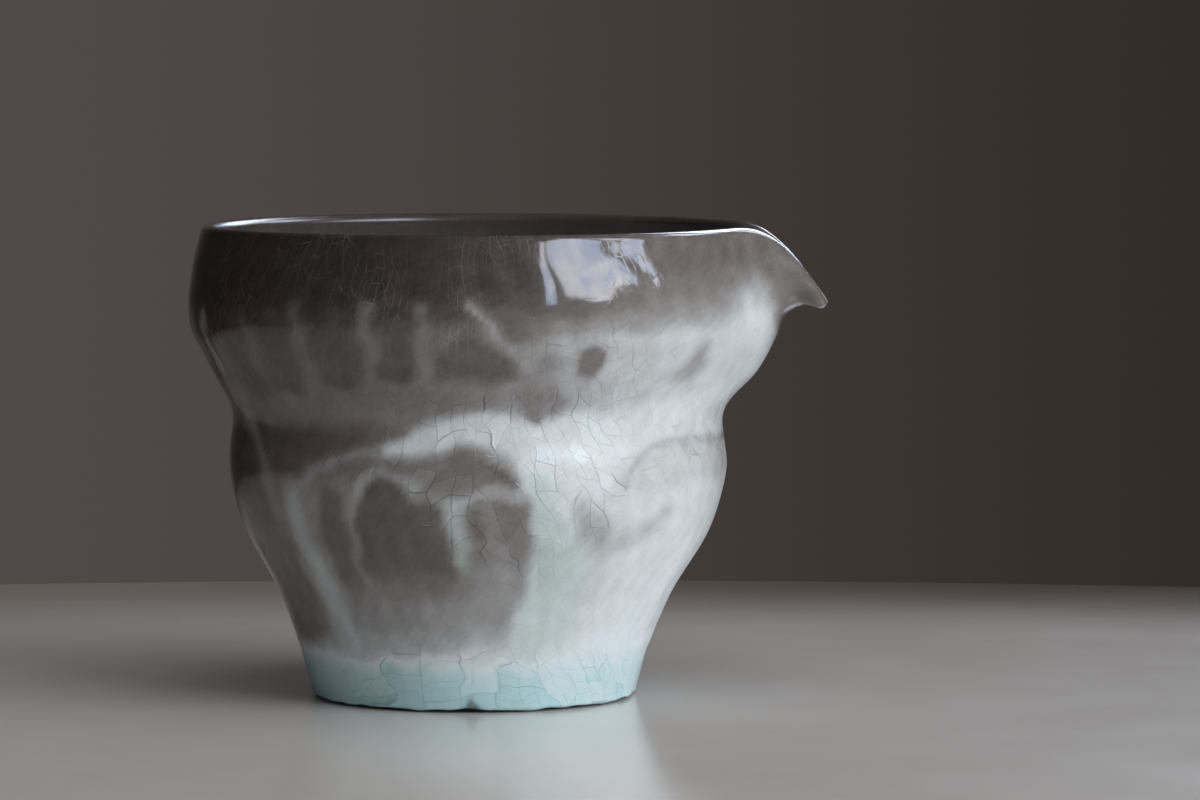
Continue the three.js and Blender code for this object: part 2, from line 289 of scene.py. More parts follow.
def smooth_loop(points: Array, steps: int) -> Array:
    """Rounds a closed outline off, with some points between each two.

    Args:
        points: The outline's points, one row each.
        steps: How many points take the place of each.

    Returns:
        The points of the rounded outline.
    """
    before, after, beyond = (np.roll(points, -step, axis=0) for step in (-1, 1, 2))
    start, end = (after - before) / 2.0, (beyond - points) / 2.0
    share = (np.arange(steps) / steps)[None, :, None]
    return curve(*(each[:, None, :] for each in (points, after, start, end)), share).reshape(-1, 2)


class Patch(Mark):
    """An area inside an outline, on which the carving stands out or lies deep."""

    steps_between_points = 4

    def share(self, azimuth: Array, height: Array) -> Array:
        """Gives how far each point is inside the outline, from 0 to 1.

        Args:
            azimuth: Degrees round the bowl.
            height: Millimetres above the table.

        Returns:
            The shares.
        """
        across, outline = self.flattened(azimuth)
        loop = smooth_loop(outline, self.steps_between_points)
        margin = 2.0 * self.soft
        close = (across > loop[:, 0].min() - margin) & (across < loop[:, 0].max() + margin)
        close &= (height > loop[:, 1].min() - margin) & (height < loop[:, 1].max() + margin)
        x, y = across[close], height[close]
        ends = np.roll(loop, -1, axis=0)
        inside = np.zeros(x.shape, dtype=bool)
        for (x0, y0), (x1, y1) in zip(loop, ends):
            if y0 != y1:
                inside ^= ((y0 > y) != (y1 > y)) & (x < (x1 - x0) * (y - y0) / (y1 - y0) + x0)
        depth = distances(x, y, loop, ends) * np.where(inside, 1.0, -1.0)
        share = np.zeros(azimuth.shape)
        share[close] = self.faded(smoothstep(depth, -self.soft, self.soft), y)
        return share


class Vein(Mark):
    """A groove, in which the glaze has pooled along a line."""

    def share(self, azimuth: Array, height: Array) -> Array:
        """Gives 1 on the line and a soft fall to 0 beside it.

        Args:
            azimuth: Degrees round the bowl.
            height: Millimetres above the table.

        Returns:
            The shares.
        """
        across, course = self.flattened(azimuth)
        distance = distances(across, height, course[:-1], course[1:])
        return self.faded(np.exp(-((distance / self.soft) ** 2)), height)


@dataclass(frozen=True)
class Carving:
    """The carved petals, the fingers above them and the grooves between, as marks in the glaze.

    Attributes:
        petal: The marks of the fingered petal in front.
        petal_centre: Its azimuth.
        other_petals: Where the same petal stands again, and -1 where it is mirrored.
        waist: The marks of the waist and of the plain petals beside the fingered one.
        crackled: Where the crazing shows most, its strength given as the depth.
        upper_tier: The marks of the fingers under the rim.
        drip: The dark drop of glaze at the foot's edge in front.
        back_lobes: How many fingers stand under the rim at the back.
        back_from: The azimuth of the first.
        back_pitch: Degrees between two.
    """

    petal_centre: float = -12.0
    other_petals: tuple[tuple[float, int], ...] = ((134.0, -1), (214.0, 1))
    petal: tuple[Mark, ...] = (
        Patch(
            ((-38.6, 29), (-38.8, 25.5), (-38.2, 21), (-36, 16.5), (-32, 12.8), (-26, 10.4), (-18, 9.6),
             (-8, 9.9), (2, 10.6), (9, 13), (12.6, 17.5), (13.4, 24), (13, 29.5), (10.5, 33), (6, 35.8),
             (0, 37.6), (-8, 36.8), (-16, 35.8), (-24, 35.6), (-31, 34.8), (-36.4, 33)),
            0.47, 1.9, 15.0,
        ),
        Patch(((-37, 34.2), (-30, 36), (-22, 37.2), (-16, 37.6), (-12, 36), (-14, 34.4), (-19, 35.4),
               (-28, 34.4)), 0.42, 1.2),
        Vein(((-47, 24), (-46.6, 29), (-44.4, 32.4), (-40, 35.2), (-34, 37), (-28, 38), (-22, 38.6)),
             0.58, 1.05),
        Vein(((-46, 31), (-46, 27), (-45.2, 22), (-43.6, 16)), 0.72, 1.8, 0.0, 0.2),
        Vein(((-44.6, 21), (-43, 14.5), (-38, 9)), 0.8, 2.5, 0.0, 0.2),
        Patch(((-38.2, 28), (-37.4, 31.6), (-34.8, 33.5), (-32.2, 32.3), (-31, 29), (-31, 23), (-31.5, 17),
               (-34.5, 16), (-37.2, 20), (-38, 24)), 0.3, 0.7, 5.0),
        Vein(((-30.2, 34), (-29.7, 30), (-29.4, 26)), 0.52, 0.9, 4.0),
        Patch(((-28.2, 27), (-27.2, 32), (-24.6, 34.2), (-20, 34.7), (-16, 33.6), (-13, 31.5), (-9.5, 31.7),
               (-7, 30.4), (-6.3, 27.5), (-5, 24.5), (-3.6, 21), (-8, 17), (-16, 15.5), (-24, 16),
               (-28.4, 20)), 0.24, 0.7, 9.0),
        Vein(((-28.7, 27), (-27.9, 32), (-25.2, 35), (-20.5, 36), (-16, 35.2), (-12.6, 33.2)),
             0.62, 0.75, 3.0),
        Patch(((-9.6, 33.6), (-7.4, 36), (-4, 38.1), (0, 38.8), (4.6, 37.3), (8, 35.5), (9.8, 33.9),
               (7, 34), (2, 34.2), (-3, 32.8), (-7, 32.2)), 0.4, 0.6),
        Patch(((1.5, 38), (4.6, 37), (8, 35.4), (9.6, 34), (7.6, 34.4), (4.6, 35.8), (1.6, 37)), 0.33, 0.5),
        Patch(((-4, 31.9), (-1, 33), (3, 34), (7, 34), (10.4, 33.2), (12, 31.6), (8, 31.8), (3, 32),
               (-1, 31.4)), 0.64, 0.6),
        Patch(((1, 22), (2, 13), (10, 12.6), (13.4, 18), (13.6, 26), (8, 25)), 0.58, 2.0),
        Patch(((-1.6, 28), (-0.9, 30.2), (3, 31.4), (8, 31.4), (11.6, 30.2), (13, 27.5), (12.4, 23),
               (10, 20.5), (4, 20), (-0.6, 21)), 0.43, 1.0, 7.0),
        Patch(((-1.4, 27), (-0.8, 29.8), (1.4, 30.2), (2.6, 28.4), (1.6, 26.2)), 0.33, 1.0),
        Patch(((6, 31), (10, 31), (12.4, 29.4), (12.6, 27), (10.6, 27.6), (8.6, 29.6)), 0.36, 0.8),
        Vein(((-4.6, 31.6), (-4.2, 29), (-3.2, 26), (-2.4, 22.5), (-1.2, 19)), 0.74, 1.45, 4.0, 0.8),
    )
    waist: tuple[Mark, ...] = (
        Patch(
            ((-56, 42.4), (-45, 42.7), (-34, 42.8), (-24, 42.8), (-24, 41.2), (-29, 39.6), (-34, 37.8),
             (-39, 36.2), (-44, 34.2), (-50, 35.4), (-54.5, 38.6)),
            0.28, 1.5, 0.0, -0.3,
        ),
        Patch(
            ((-25, 38.4), (-19, 40.4), (-14, 42), (-8, 43.4), (0, 44.4), (9, 44.2), (14, 43.2), (20, 44),
             (32, 44.3), (46, 45.6), (58, 46.2), (76, 46.4), (76, 40.4), (60, 40.5), (48, 40.6), (40, 39.6),
             (35.5, 37.2), (32.2, 33.5), (30, 30), (28, 24), (27.5, 16), (27, 8.5), (15, 8.5), (12.6, 16),
             (13, 24), (13, 30), (11.2, 34.5), (8.4, 37.2), (4, 39.4), (0, 40), (-6, 39.2), (-12, 38),
             (-18, 37.4)),
            0.95, 1.3,
        ),
        Patch(((14, 9), (14, 25), (17, 28), (24, 27), (29, 22), (29, 9)), 0.88, 3.0, 0.0, 0.7),
        Vein(((15, 34), (18, 27), (20, 18), (22, 10)), 0.86, 1.6, 5.0, 0.8),
        Patch(((37.4, 33), (38.4, 36.2), (42, 38.6), (50, 39.6), (62, 39.3), (78, 38.7), (100, 38.4),
               (100, 34.6), (78, 33), (60, 33.4), (50, 33), (43, 32)), 0.85, 1.8, 0.0, -0.12),
        Vein(((36.6, 33.2), (37.6, 35.7), (40.6, 38), (45.3, 39.2), (52.4, 39.6), (60.6, 39.2), (74, 38.8),
              (100, 38.4)), 0.76, 0.7),
        Patch(((24.6, 30.6), (28, 30.2), (33, 28.4), (40, 27), (46, 28.2), (51, 29.8), (51, 28), (46, 25.8),
               (40, 24.2), (34, 23), (28, 23.8), (25, 26)), 0.8, 1.4, 0.0, 0.3),
        Patch(((24.4, 30.6), (26.6, 31), (30, 29.4), (32.6, 27.4), (33, 25.4), (29.4, 24.4), (26, 26)),
              0.66, 1.9, 0.0, 0.4),
        Patch(((-95, 44), (-72, 44.4), (-62, 43.6), (-62, 40.6), (-70, 40.6), (-95, 40)), 0.36, 1.3),
        Patch(((-78, 37.6), (-70, 39.4), (-62, 37.6), (-58.4, 35), (-60, 33.2), (-67, 32), (-78, 31.6)),
              0.2, 0.9),
        Vein(((-66, 42.4), (-58, 38), (-54, 33), (-51, 26)), 0.5, 1.5, 4.0),
        Patch(((-67, 25), (-52, 25), (-50.6, 17), (-51, 10), (-67, 10)), 0.36, 1.8, 3.0, -0.4),
        Patch(((-100, 33), (-80, 33), (-72, 30), (-72, 20), (-80, 12), (-98, 12), (-106, 22)),
              0.2, 2.0, 4.0),
    )
    crackled: tuple[Mark, ...] = (
        Patch(((-34, 36), (-28, 41), (-18, 45), (-6, 47.6), (8, 48), (24, 50), (38, 47), (42, 42), (36, 34),
               (31, 27), (20, 20), (11, 22), (6, 25), (-2, 19), (-10, 20), (-15, 27), (-20, 32), (-28, 34)),
              1.0, 3.0),
        Patch(((-38, 7), (-20, 9), (10, 9), (46, 8), (62, 6), (62, -3), (-38, -3)), 1.0, 2.0),
        Patch(((-62, 50), (-40, 58), (-10, 58), (30, 58), (44, 54), (38, 48), (10, 49), (-16, 47), (-34, 43),
               (-52, 42)), 0.42, 3.0),
        Patch(((96, 48), (130, 52), (200, 46), (262, 48), (280, 38), (236, 30), (160, 36), (110, 28)),
              0.75, 5.0),
    )
    upper_tier: tuple[Mark, ...] = (
        Patch(((-100, 46), (-100, 53), (-66, 56.4), (-56, 58), (-50, 55), (-50, 47), (-60, 44.6),
               (-76, 45.6)), 0.11, 2.0, 0.0, -0.8),
        Patch(((-62.5, 48), (-62, 52), (-58, 53.6), (-53.4, 52), (-52, 48), (-56, 46.4)),
              0.05, 1.0, 0.0, -0.9),
        Patch(((-48.4, 48), (-47.4, 55), (-44, 57.6), (-39.6, 56.6), (-37.6, 51), (-39.6, 46.8)),
              0.17, 1.0),
        Vein(((-51, 57), (-50, 52), (-48.4, 46.5)), 0.26, 1.0, 3.0),
        Patch(((-33.8, 50), (-33.4, 56.8), (-30, 59), (-25, 58.6), (-22.5, 55), (-22.8, 50), (-27, 47.6)),
              0.18, 0.9),
        Patch(((-18.9, 50.5), (-18.4, 56.6), (-15, 59), (-11.8, 57), (-11, 52), (-13, 49.4), (-17, 49.2)),
              0.21, 0.8),
        Patch(((-8, 49), (-7.4, 52), (-4, 55.6), (-1.5, 56.8), (2.5, 55), (6.5, 52.9), (9.4, 50.5),
               (9.2, 49), (4, 47.8), (-3, 47.6)), 0.24, 1.0, 3.0),
        Patch(((2.4, 59.6), (5, 60.3), (9.6, 58.4), (10.8, 56), (8, 55), (5.5, 56.2), (3.2, 57.8)),
              0.3, 0.8),
        Patch(((9.6, 47.4), (12.6, 52), (17, 52.6), (19, 49), (20.4, 46.3), (17.6, 44.2), (14.4, 42.6),
               (11.6, 44.4)), 0.46, 1.2),
        Patch(((20.8, 51), (21.5, 53), (24, 54.1), (26.7, 53), (27.3, 51), (26, 49.2), (23.5, 48.6),
               (21.5, 49.4)), 0.36, 0.55, 2.0),
        Patch(((45.6, 49.2), (49.4, 52.2), (52.6, 54.4), (54.2, 52.4), (56, 50), (53, 48.6), (49, 48.2)),
              0.6, 1.3),
        Vein(((-36.6, 59), (-35.6, 54), (-34, 48)), 0.34, 1.1, 3.0),
        Vein(((-20.9, 59.5), (-20.6, 55), (-20.3, 49)), 0.38, 1.0, 3.0),
        Vein(((-9.6, 59.5), (-9.5, 54), (-9.3, 47)), 0.42, 0.95, 3.0),
        Vein(((0.4, 60), (3.4, 57.2), (7, 54.2), (11.5, 51.4)), 0.56, 0.85),
        Vein(((18.5, 55), (18.8, 47)), 0.66, 1.1, 3.0),
        Vein(((30.5, 54.5), (30.5, 46)), 0.78, 1.6, 3.0),
    )
    drip: Mark = Patch(
        ((-5.5, -1.5), (-3.2, 0.9), (-0.6, 1.9), (1.6, 1.9), (3.8, 0.9), (6, -1.5)), 2.0, 0.9,
    )
    back_lobes: int = 12
    back_from: float = 112.0
    back_pitch: float = 15.6

    def marks(self) -> list[Mark]:
        """Gives every mark, in the order in which they lie over one another."""
        marks: list[Mark] = []
        for target, side in self.other_petals:
            marks += [mark.placed(self.petal_centre, target, side) for mark in self.petal]
        marks += [*self.waist, *self.petal, *self.upper_tier]
        for number in range(self.back_lobes):
            marks += self.back_lobe(number)
        return [*marks, self.drip]

    def back_lobe(self, number: int) -> tuple[Mark, Mark]:
        """Gives one finger at the back, a little unlike the next, and the groove after it."""
        centre = self.back_from + self.back_pitch * number
        top = 56.2 + 1.6 * math.sin(1.3 * number + 0.5)
        low = 48.6 - 0.8 * math.cos(number)
        half = 4.6 + 1.1 * math.sin(2.1 * number)
        neck, shoulder = 0.9 * half, top - 2
        hip = low + 2
        outline = ((-half, hip), (-neck, shoulder), (0, top), (neck, shoulder), (half, hip), (0, low))
        groove = centre + self.back_pitch / 2.0
        return (
            Patch(tuple((centre + turn, height) for turn, height in outline), 0.24, 0.9),
            Vein(((groove, 57.5), (groove + 1.0, 46.5)), 0.52, 1.1, 3.0),
        )


class RowKind(Enum):
    """Where on the pitcher a row of points runs round it."""

    BEAD = "bead"
    FOOT = "foot"
    WALL = "wall"
    LIP = "lip"
    LINING = "lining"
    FLOOR = "floor"


@dataclass(frozen=True)
class Row:
    """One row of points round the pitcher.

    Attributes:
        kind: The part of the pitcher that it runs over.
        at: Where on that part: degrees on the bead and over the lip, a share on the foot and on the floor,
            and a number of stations above the ankle on the wall and on its lining.
        buried: True on the underside of the glaze, against the clay.
    """

    kind: RowKind
    at: float
    buried: bool = False


@dataclass(frozen=True)
class Layer:
    """The glaze at some points: its skin, the direction from there into the clay, and its thickness."""

    skin: Array
    into: Array
    glaze: Array

    def back(self) -> Array:
        """Gives the points of the glaze's underside."""
        return self.skin + self.into * self.glaze[:, None]


@dataclass(frozen=True)
class Wall:
    """The bowl, its spout and the glazes on them, in millimetres about the bowl's axis.

    A place on the wall is counted in stations, from 0 at the ankle to edge at the lip.
    """

    height: float = 70.0
    rim_radius: float = 41.0
    shoulder_radius: float = 42.8
    shoulder_below_rim: float = 11.5
    waist_radius: float = 36.5
    waist_height: float = 42.2
    belly_radius: float = 36.9
    belly_below_waist: float = 8.2
    ankle_radius: float = 25.7
    ankle_height: float = 7.0
    ankle_blend: float = 4.0
    foot_radius: float = 24.1
    foot_shift: float = 0.7
    foot_shift_from: float = 4.2
    foot_shift_to: float = 26.0
    thickness: float = 4.2
    lip_width: float = 2.5
    spout_lip_width: float = 2.0
    lip_rounding: float = 1.0
    floor_top: float = 8.2
    floor_place: float = 1.0
    floor_curve: float = 3.2
    glaze_line: float = 0.32
    cad_glaze_line: float = 0.9
    notch_azimuth: float = 0.3
    notch_spread: float = 5.0
    notch_roundness: float = 2.2
    notch_rise: float = 0.22
    line_wave: Wave = Wave(0.13, 7.0, 5)
    spout_reach: float = 10.6
    spout_drop: float = 11.3
    spout_spread: float = 14.0
    spout_roundness: float = 2.4
    spout_azimuth: float = 90.0
    thin_glaze: float = 0.5
    foot_glaze: float = 1.3
    inner_glaze: float = 0.7
    relief: float = 0.24
    pale_depth: float = 0.85
    level_share: float = 0.35

    edge = 9.0

    def bowl_stations(self) -> Array:
        """Gives the stations of the bowl's outer skin, from the ankle up to the lip's edge."""
        ankle = np.array([self.ankle_radius, self.ankle_height])
        belly = np.array([self.belly_radius, self.waist_height - self.belly_below_waist])
        waist = np.array([self.waist_radius, self.waist_height])
        shoulder = np.array([self.shoulder_radius, self.height - self.shoulder_below_rim])
        lean_of_lip = 0.1 * self.lip_width
        lip = np.array([self.rim_radius, self.height - self.lip_rounding + lean_of_lip])
        return np.array([
            ankle,
            blend(ankle, belly, np.array([0.34, 0.34])),
            blend(ankle, belly, np.array([0.79, 0.67])),
            belly,
            waist,
            blend(waist, shoulder, np.array([0.44, 0.38])),
            blend(waist, shoulder, np.array([0.92, 0.74])),
            shoulder,
            blend(shoulder, lip, np.array([0.34, 0.52])),
            lip,
        ])

    def spout_stations(self) -> Array:
        """Gives the same stations in the spout's middle plane, where the wall turns out and down."""
        up_to_waist = self.bowl_stations()[:5]
        waist = up_to_waist[-1]
        tip = np.array([self.rim_radius + self.spout_reach, self.height - self.spout_drop])
        throat = tip - np.array([6.2, 2.5])
        return np.array([
            *up_to_waist,
            blend(waist, throat, np.array([0.54, 0.42])),
            blend(waist, throat, np.array([0.86, 0.78])),
            throat,
            tip - np.array([3.7, 0.8]),
            tip - np.array([self.lip_rounding, 1.3]),
        ])

    @staticmethod
    def along(stations: Array, place: Array) -> Array:
        """Gives points of the smooth line through stations, at places counted in stations."""
        last = len(stations) - 1
        index = np.clip(np.floor(place).astype(int), 0, last)
        share = (place - index)[:, None]
        before, here, after, beyond = (
            stations[np.clip(index + step, 0, last)] for step in (-1, 0, 1, 2)
        )
        return curve(here, after, (after - before) / 2.0, (beyond - here) / 2.0, share)

    def spout_share(self, azimuth: Array) -> Array:
        """Gives the share of the spout's shape at an azimuth."""
        away = np.abs(turn_from(self.spout_azimuth, azimuth)) / self.spout_spread
        return np.exp(-(away**self.spout_roundness))

    def smooth_skin(self, azimuth: Array, place: Array) -> Array:
        """Gives the smooth outer skin: the rim swings out early and dips late at the spout."""
        bowl = self.along(self.bowl_stations(), place)
        spout = self.along(self.spout_stations(), place)
        share = self.spout_share(azimuth)
        radius = blend(bowl[:, 0], spout[:, 0], share)
        return around(azimuth, radius, blend(bowl[:, 1], spout[:, 1], share * share))

    def directions(self, azimuth: Array, place: Array) -> tuple[Array, Array]:
        """Gives directions on the smooth skin: out of it, and up it towards the lip.

        Args:
            azimuth: Degrees round the bowl.
            place: Stations above the ankle.

        Returns:
            The two arrays of unit vectors.
        """
        sideways = self.smooth_skin(azimuth + 0.5, place) - self.smooth_skin(azimuth - 0.5, place)
        low, high = (np.clip(place + step, 0.0, self.edge) for step in (-0.05, 0.05))
        upward = self.smooth_skin(azimuth, high) - self.smooth_skin(azimuth, low)
        out = unit(np.cross(sideways, upward))
        return out, unit(np.cross(out, sideways))

    def lip_width_at(self, azimuth: Array) -> Array:
        """Gives the width of the lip at an azimuth."""
        return blend(self.lip_width, self.spout_lip_width, self.spout_share(azimuth))

    def thickness_at(self, azimuth: Array, place: Array) -> Array:
        """Gives the thickness of the wall and its glazes."""
        return blend(self.thickness, self.lip_width_at(azimuth), smoothstep(place, self.edge - 3, self.edge))

    def carved(self, height: Array) -> Array:
        """Gives 1 in the carved band, from the ankle to the plain band under the rim, and 0 outside it."""
        shoulder = self.height - self.shoulder_below_rim
        ankle = self.ankle_height
        return Band(ankle, ankle + self.ankle_blend, shoulder - 1, shoulder + 4).share(height)

    def line_at(self, azimuth: Array) -> Array:
        """Gives the height at which the glaze stops above the table: uneven, with one bare notch in front."""
        away = np.abs(turn_from(self.notch_azimuth, azimuth)) / self.notch_spread
        notch = self.notch_rise * np.exp(-(away**self.notch_roundness))
        return self.glaze_line + self.line_wave.at(azimuth, np.zeros_like(azimuth)) + notch

    def bead(self, azimuth: Array, turn: float) -> Layer:
        """Gives the rolled lower edge of the glaze, at degrees round it from its outside."""
        angle = math.radians(turn)
        roll = self.foot_glaze / 2.0
        out = around(azimuth, np.ones_like(azimuth), np.zeros_like(azimuth))
        down = np.array([0.0, 0.0, -1.0])
        radius = np.full_like(azimuth, self.foot_radius - roll)
        centre = around(azimuth, radius, self.line_at(azimuth) + roll)
        skin = centre + roll * (math.cos(angle) * out + math.sin(angle) * down)
        return Layer(skin, -out, np.zeros_like(azimuth))

    def foot(self, azimuth: Array, share: float) -> Layer:
        """Gives the glazed foot, a plain cone from the glaze line to the ankle."""
        radius = np.full_like(azimuth, self.foot_radius)
        low = around(azimuth, radius, self.line_at(azimuth) + self.foot_glaze / 2)
        ankle = self.wall(azimuth, 0.0)
        out = around(azimuth, np.ones_like(azimuth), np.zeros_like(azimuth))
        return Layer(blend(low, ankle.skin, share), -out, np.full_like(azimuth, self.foot_glaze))

    def wall(self, azimuth: Array, place: float) -> Layer:
        """Gives the outer glaze on the smooth wall, at a number of stations above the ankle."""
        places = np.full_like(azimuth, place)
        out, _ = self.directions(azimuth, places)
        skin = self.smooth_skin(azimuth, places)
        above = smoothstep(skin[:, 2], self.ankle_height, self.ankle_height + self.ankle_blend)
        return Layer(skin, -out, blend(self.foot_glaze, self.thin_glaze, above))

    def raise_of(self, depth: Array, height: Array) -> Array:
        """Gives how far the skin stands out, in millimetres, where the glaze runs thin over the carving."""
        thin = np.clip(1.0 - depth / self.pale_depth, 0.0, 1.0)
        return self.relief * self.carved(height) * (thin - self.level_share)

    def lip(self, azimuth: Array, over: float) -> Layer:
        """Gives the rounded lip, at degrees over it from its outer edge."""
        out, up = self.directions(azimuth, np.full_like(azimuth, self.edge))
        half = (self.lip_width_at(azimuth) / 2.0)[:, None]
        angle = math.radians(over)
        skin = self.smooth_skin(azimuth, np.full_like(azimuth, self.edge))
        skin = skin + out * half * (math.cos(angle) - 1.0) + up * (self.lip_rounding * math.sin(angle))
        into = unit(-out * math.cos(angle) - up * math.sin(angle))
        return Layer(skin, into, np.full_like(azimuth, self.thin_glaze))

    def lining(self, azimuth: Array, place: float) -> Layer:
        """Gives the inner glaze on the wall, at a number of stations above the ankle."""
        places = np.full_like(azimuth, place)
        out, _ = self.directions(azimuth, places)
        skin = self.smooth_skin(azimuth, places) - out * self.thickness_at(azimuth, places)[:, None]
        glaze = blend(self.inner_glaze, self.thin_glaze, smoothstep(places, self.edge - 3, self.edge))
        return Layer(skin, out, glaze)

    def floor(self, azimuth: Array, share: float) -> Layer:
        """Gives the bowl's floor, at a share of its radius from the axis."""
        wall = self.lining(azimuth, self.floor_place).skin
        radius = np.hypot(wall[:, 0], wall[:, 1])
        rise = wall[:, 2] - self.floor_top
        slope = rise / radius * self.floor_curve * share ** (self.floor_curve - 1.0)
        into = unit(around(azimuth, slope, np.full_like(azimuth, -1.0)))
        skin = around(azimuth, radius * share, self.floor_top + rise * share**self.floor_curve)
        return Layer(skin, into, np.full_like(azimuth, self.inner_glaze))

    def layer(self, row: Row, azimuth: Array) -> Layer:
        """Gives the glaze along one row of points."""
        return {
            RowKind.BEAD: self.bead,
            RowKind.FOOT: self.foot,
            RowKind.WALL: self.wall,
            RowKind.LIP: self.lip,
            RowKind.LINING: self.lining,
            RowKind.FLOOR: self.floor,
        }[row.kind](azimuth, row.at)

    def settled(self, points: Array) -> Array:
        """Gives points moved with the foot, which stands a little behind the bowl's axis."""
        share = 1.0 - smoothstep(points[:, 2], self.foot_shift_from, self.foot_shift_to)
        return points - np.stack([self.foot_shift * share, 0 * share, 0 * share], axis=-1)


@dataclass(frozen=True)
class GlazeDepthAndPaintedLight:
    """How deep the glaze stands, plus painted shade and highlight: 0 is thin and dark, 1 thick and pale,
    beyond that pooled blue.

    Attributes:
        wall: The pitcher's shape.
        carving: The marks on it.
        shaded: Heights and depths down the side on which the glaze ran thin.
        pale: The same on the side on which it ran thick, under the spout.
        paleness: Azimuths and shares of the thick side's depths.
        lining: The same as shaded, down the inside of the bowl.
        sway: How the edges of the marks wander, in degrees.
        lift: The same in millimetres.
        foot_lift: How the upper edge of the blue band at the foot wanders, in millimetres.
        mottle: How the depth itself goes up and down.
        burnt_side: Where the glaze is darkened most, on the left, the side away from the lamps: painted
            shade.
        brown_side: Where it is brownest.
        throat: Where the pale pool under the spout is, with a painted highlight on the spout's lit flank.
        right_side: The azimuths between which the pale side is darkened a little towards its edge: painted
            shade.
        right_heights: The heights of the same.
        crackle_wave: How the strength of the crazing goes up and down.
        hairline_wave: The same of the hairlines.
        ring_lift: How the bands inside wander, in millimetres.
        ring_sway: The same of the throwing rings.
    """

    wall: Wall
    carving: Carving = field(default_factory=Carving)
    shaded: tuple[tuple[float, float], ...] = (
        (0.0, 1.5), (5.0, 1.4), (6.4, 1.25), (8.0, 0.92), (9.6, 0.7), (12.0, 0.56), (20.0, 0.5),
        (30.0, 0.52), (36.0, 0.42), (39.0, 0.32), (41.0, 0.28), (42.5, 0.34), (44.0, 0.36), (47.0, 0.31),
        (50.0, 0.31), (54.0, 0.28), (56.5, 0.19), (59.0, 0.08), (62.0, 0.03), (71.0, 0.0),
    )
    pale: tuple[tuple[float, float], ...] = (
        (0.0, 1.34), (5.0, 1.28), (6.8, 1.16), (8.3, 1.04), (11.0, 1.0), (20.0, 0.95), (33.0, 0.96),
        (38.0, 0.9), (40.0, 0.96), (42.0, 1.0), (44.0, 0.94), (47.0, 0.84), (51.0, 0.86), (55.0, 0.84),
        (57.0, 0.66), (59.0, 0.5), (61.0, 0.43), (65.0, 0.33), (71.0, 0.29),
    )
    paleness: tuple[tuple[float, float], ...] = (
        (-180.0, 0.25), (-150.0, 0.1), (-110.0, 0.0), (-60.0, 0.0), (-30.0, 0.06), (-10.0, 0.16), (0.0, 0.27),
        (10.0, 0.42), (20.0, 0.62), (30.0, 0.8), (42.0, 0.95), (55.0, 1.0), (112.0, 1.0), (132.0, 0.75),
        (155.0, 0.4), (180.0, 0.25),
    )
    lining: tuple[tuple[float, float], ...] = (
        (7.0, 1.75), (9.5, 1.6), (14.0, 1.15), (24.0, 0.92), (36.0, 0.8), (48.0, 0.6), (57.0, 0.36),
        (63.0, 0.14), (71.0, 0.08),
    )
    sway: tuple[Wave, ...] = (Wave(0.5, 5.0, 11), Wave(0.12, 1.9, 12))
    lift: tuple[Wave, ...] = (Wave(0.3, 5.5, 13), Wave(0.08, 1.7, 14))
    foot_lift: Wave = Wave(0.35, 5.0, 19)
    mottle: tuple[Wave, ...] = (Wave(0.02, 3.0, 15), Wave(0.015, 1.2, 16))
    burnt_side: Sector = Sector(-76.0, 14.0, 32.0)
    brown_side: Sector = Sector(-65.0, 10.0, 35.0)
    throat: Sector = Sector(79.0, 8.0, 27.0)
    right_side: Band = Band(54.0, 76.0, 110.0, 150.0)
    right_heights: Band = Band(7.5, 12.0, 43.0, 51.0)
    crackle_wave: Wave = Wave(0.07, 18.0, 17)
    hairline_wave: Wave = Wave(0.3, 16.0, 18)
    ring_lift: Wave = Wave(0.8, 9.0, 21)
    ring_sway: Wave = Wave(0.4, 20.0, 22)

    def outside(self, azimuth: Array, height: Array) -> tuple[Array, Array]:
        """Gives the depth and the tint of the outer glaze.

        Args:
            azimuth: Degrees round the bowl.
            height: Millimetres above the table.

        Returns:
            The depth at each point, and its tint.
        """
        turned = azimuth + rippled(azimuth, height, *self.sway)
        low = 1.0 - smoothstep(height, 9.5, 13.0)
        raised = height + rippled(azimuth, height, *self.lift) + low * self.foot_lift.at(azimuth, height)
        depth = self.uncarved(azimuth, height, turned, raised)
        tint = -0.5 * self.brown_side.share(azimuth) * smoothstep(height, 9.0, 20.0)
        for mark in self.carving.marks():
            touched = mark.share(turned, raised)
            depth = blend(depth, mark.depth, touched)
            tint = blend(tint, mark.tint, touched)
        # Painted shade: the pale side is darkened a little towards its right edge, below the spout
        right = self.right_side.share(turn_from(0.0, azimuth)) * self.right_heights.share(height)
        depth = depth * (1.0 - 0.1 * right)
        return np.maximum(depth + rippled(azimuth, height, *self.mottle), 0.0), tint

    def uncarved(self, azimuth: Array, height: Array, turned: Array, raised: Array) -> Array:
        """Gives the depth of the outer glaze as it ran down the wall before the carving, with painted shade
        and highlight.

        Args:
            azimuth: Degrees round the bowl.
            height: Millimetres above the table.
            turned: The same azimuths, wandering.
            raised: The same heights, wandering.

        Returns:
            The depth at each point.
        """
        dip = self.wall.spout_drop * self.wall.spout_share(azimuth) ** 2
        below_lip = raised + dip * smoothstep(height, 46.0, 57.0)
        thick = np.interp(turn_from(0.0, turned), *zip(*self.paleness))
        thin_side, thick_side = (np.interp(below_lip, *zip(*side)) for side in (self.shaded, self.pale))
        depth = blend(thin_side, thick_side, thick)
        # Painted shade: the glaze on the left, the side away from the lamps, is darkened by up to half above
        # the foot
        burnt = self.burnt_side.share(azimuth) * smoothstep(height, 7.0, 12.0)
        # The pale pool under the spout, partly a painted highlight on the spout's flank that faces the lamps
        throat = smoothstep(height, 50.0, 55.0) * (1.0 - smoothstep(below_lip, 56.0, 66.0))
        throat = throat * self.throat.share(azimuth)
        return blend(depth * (1.0 - 0.5 * burnt), 1.0, throat)

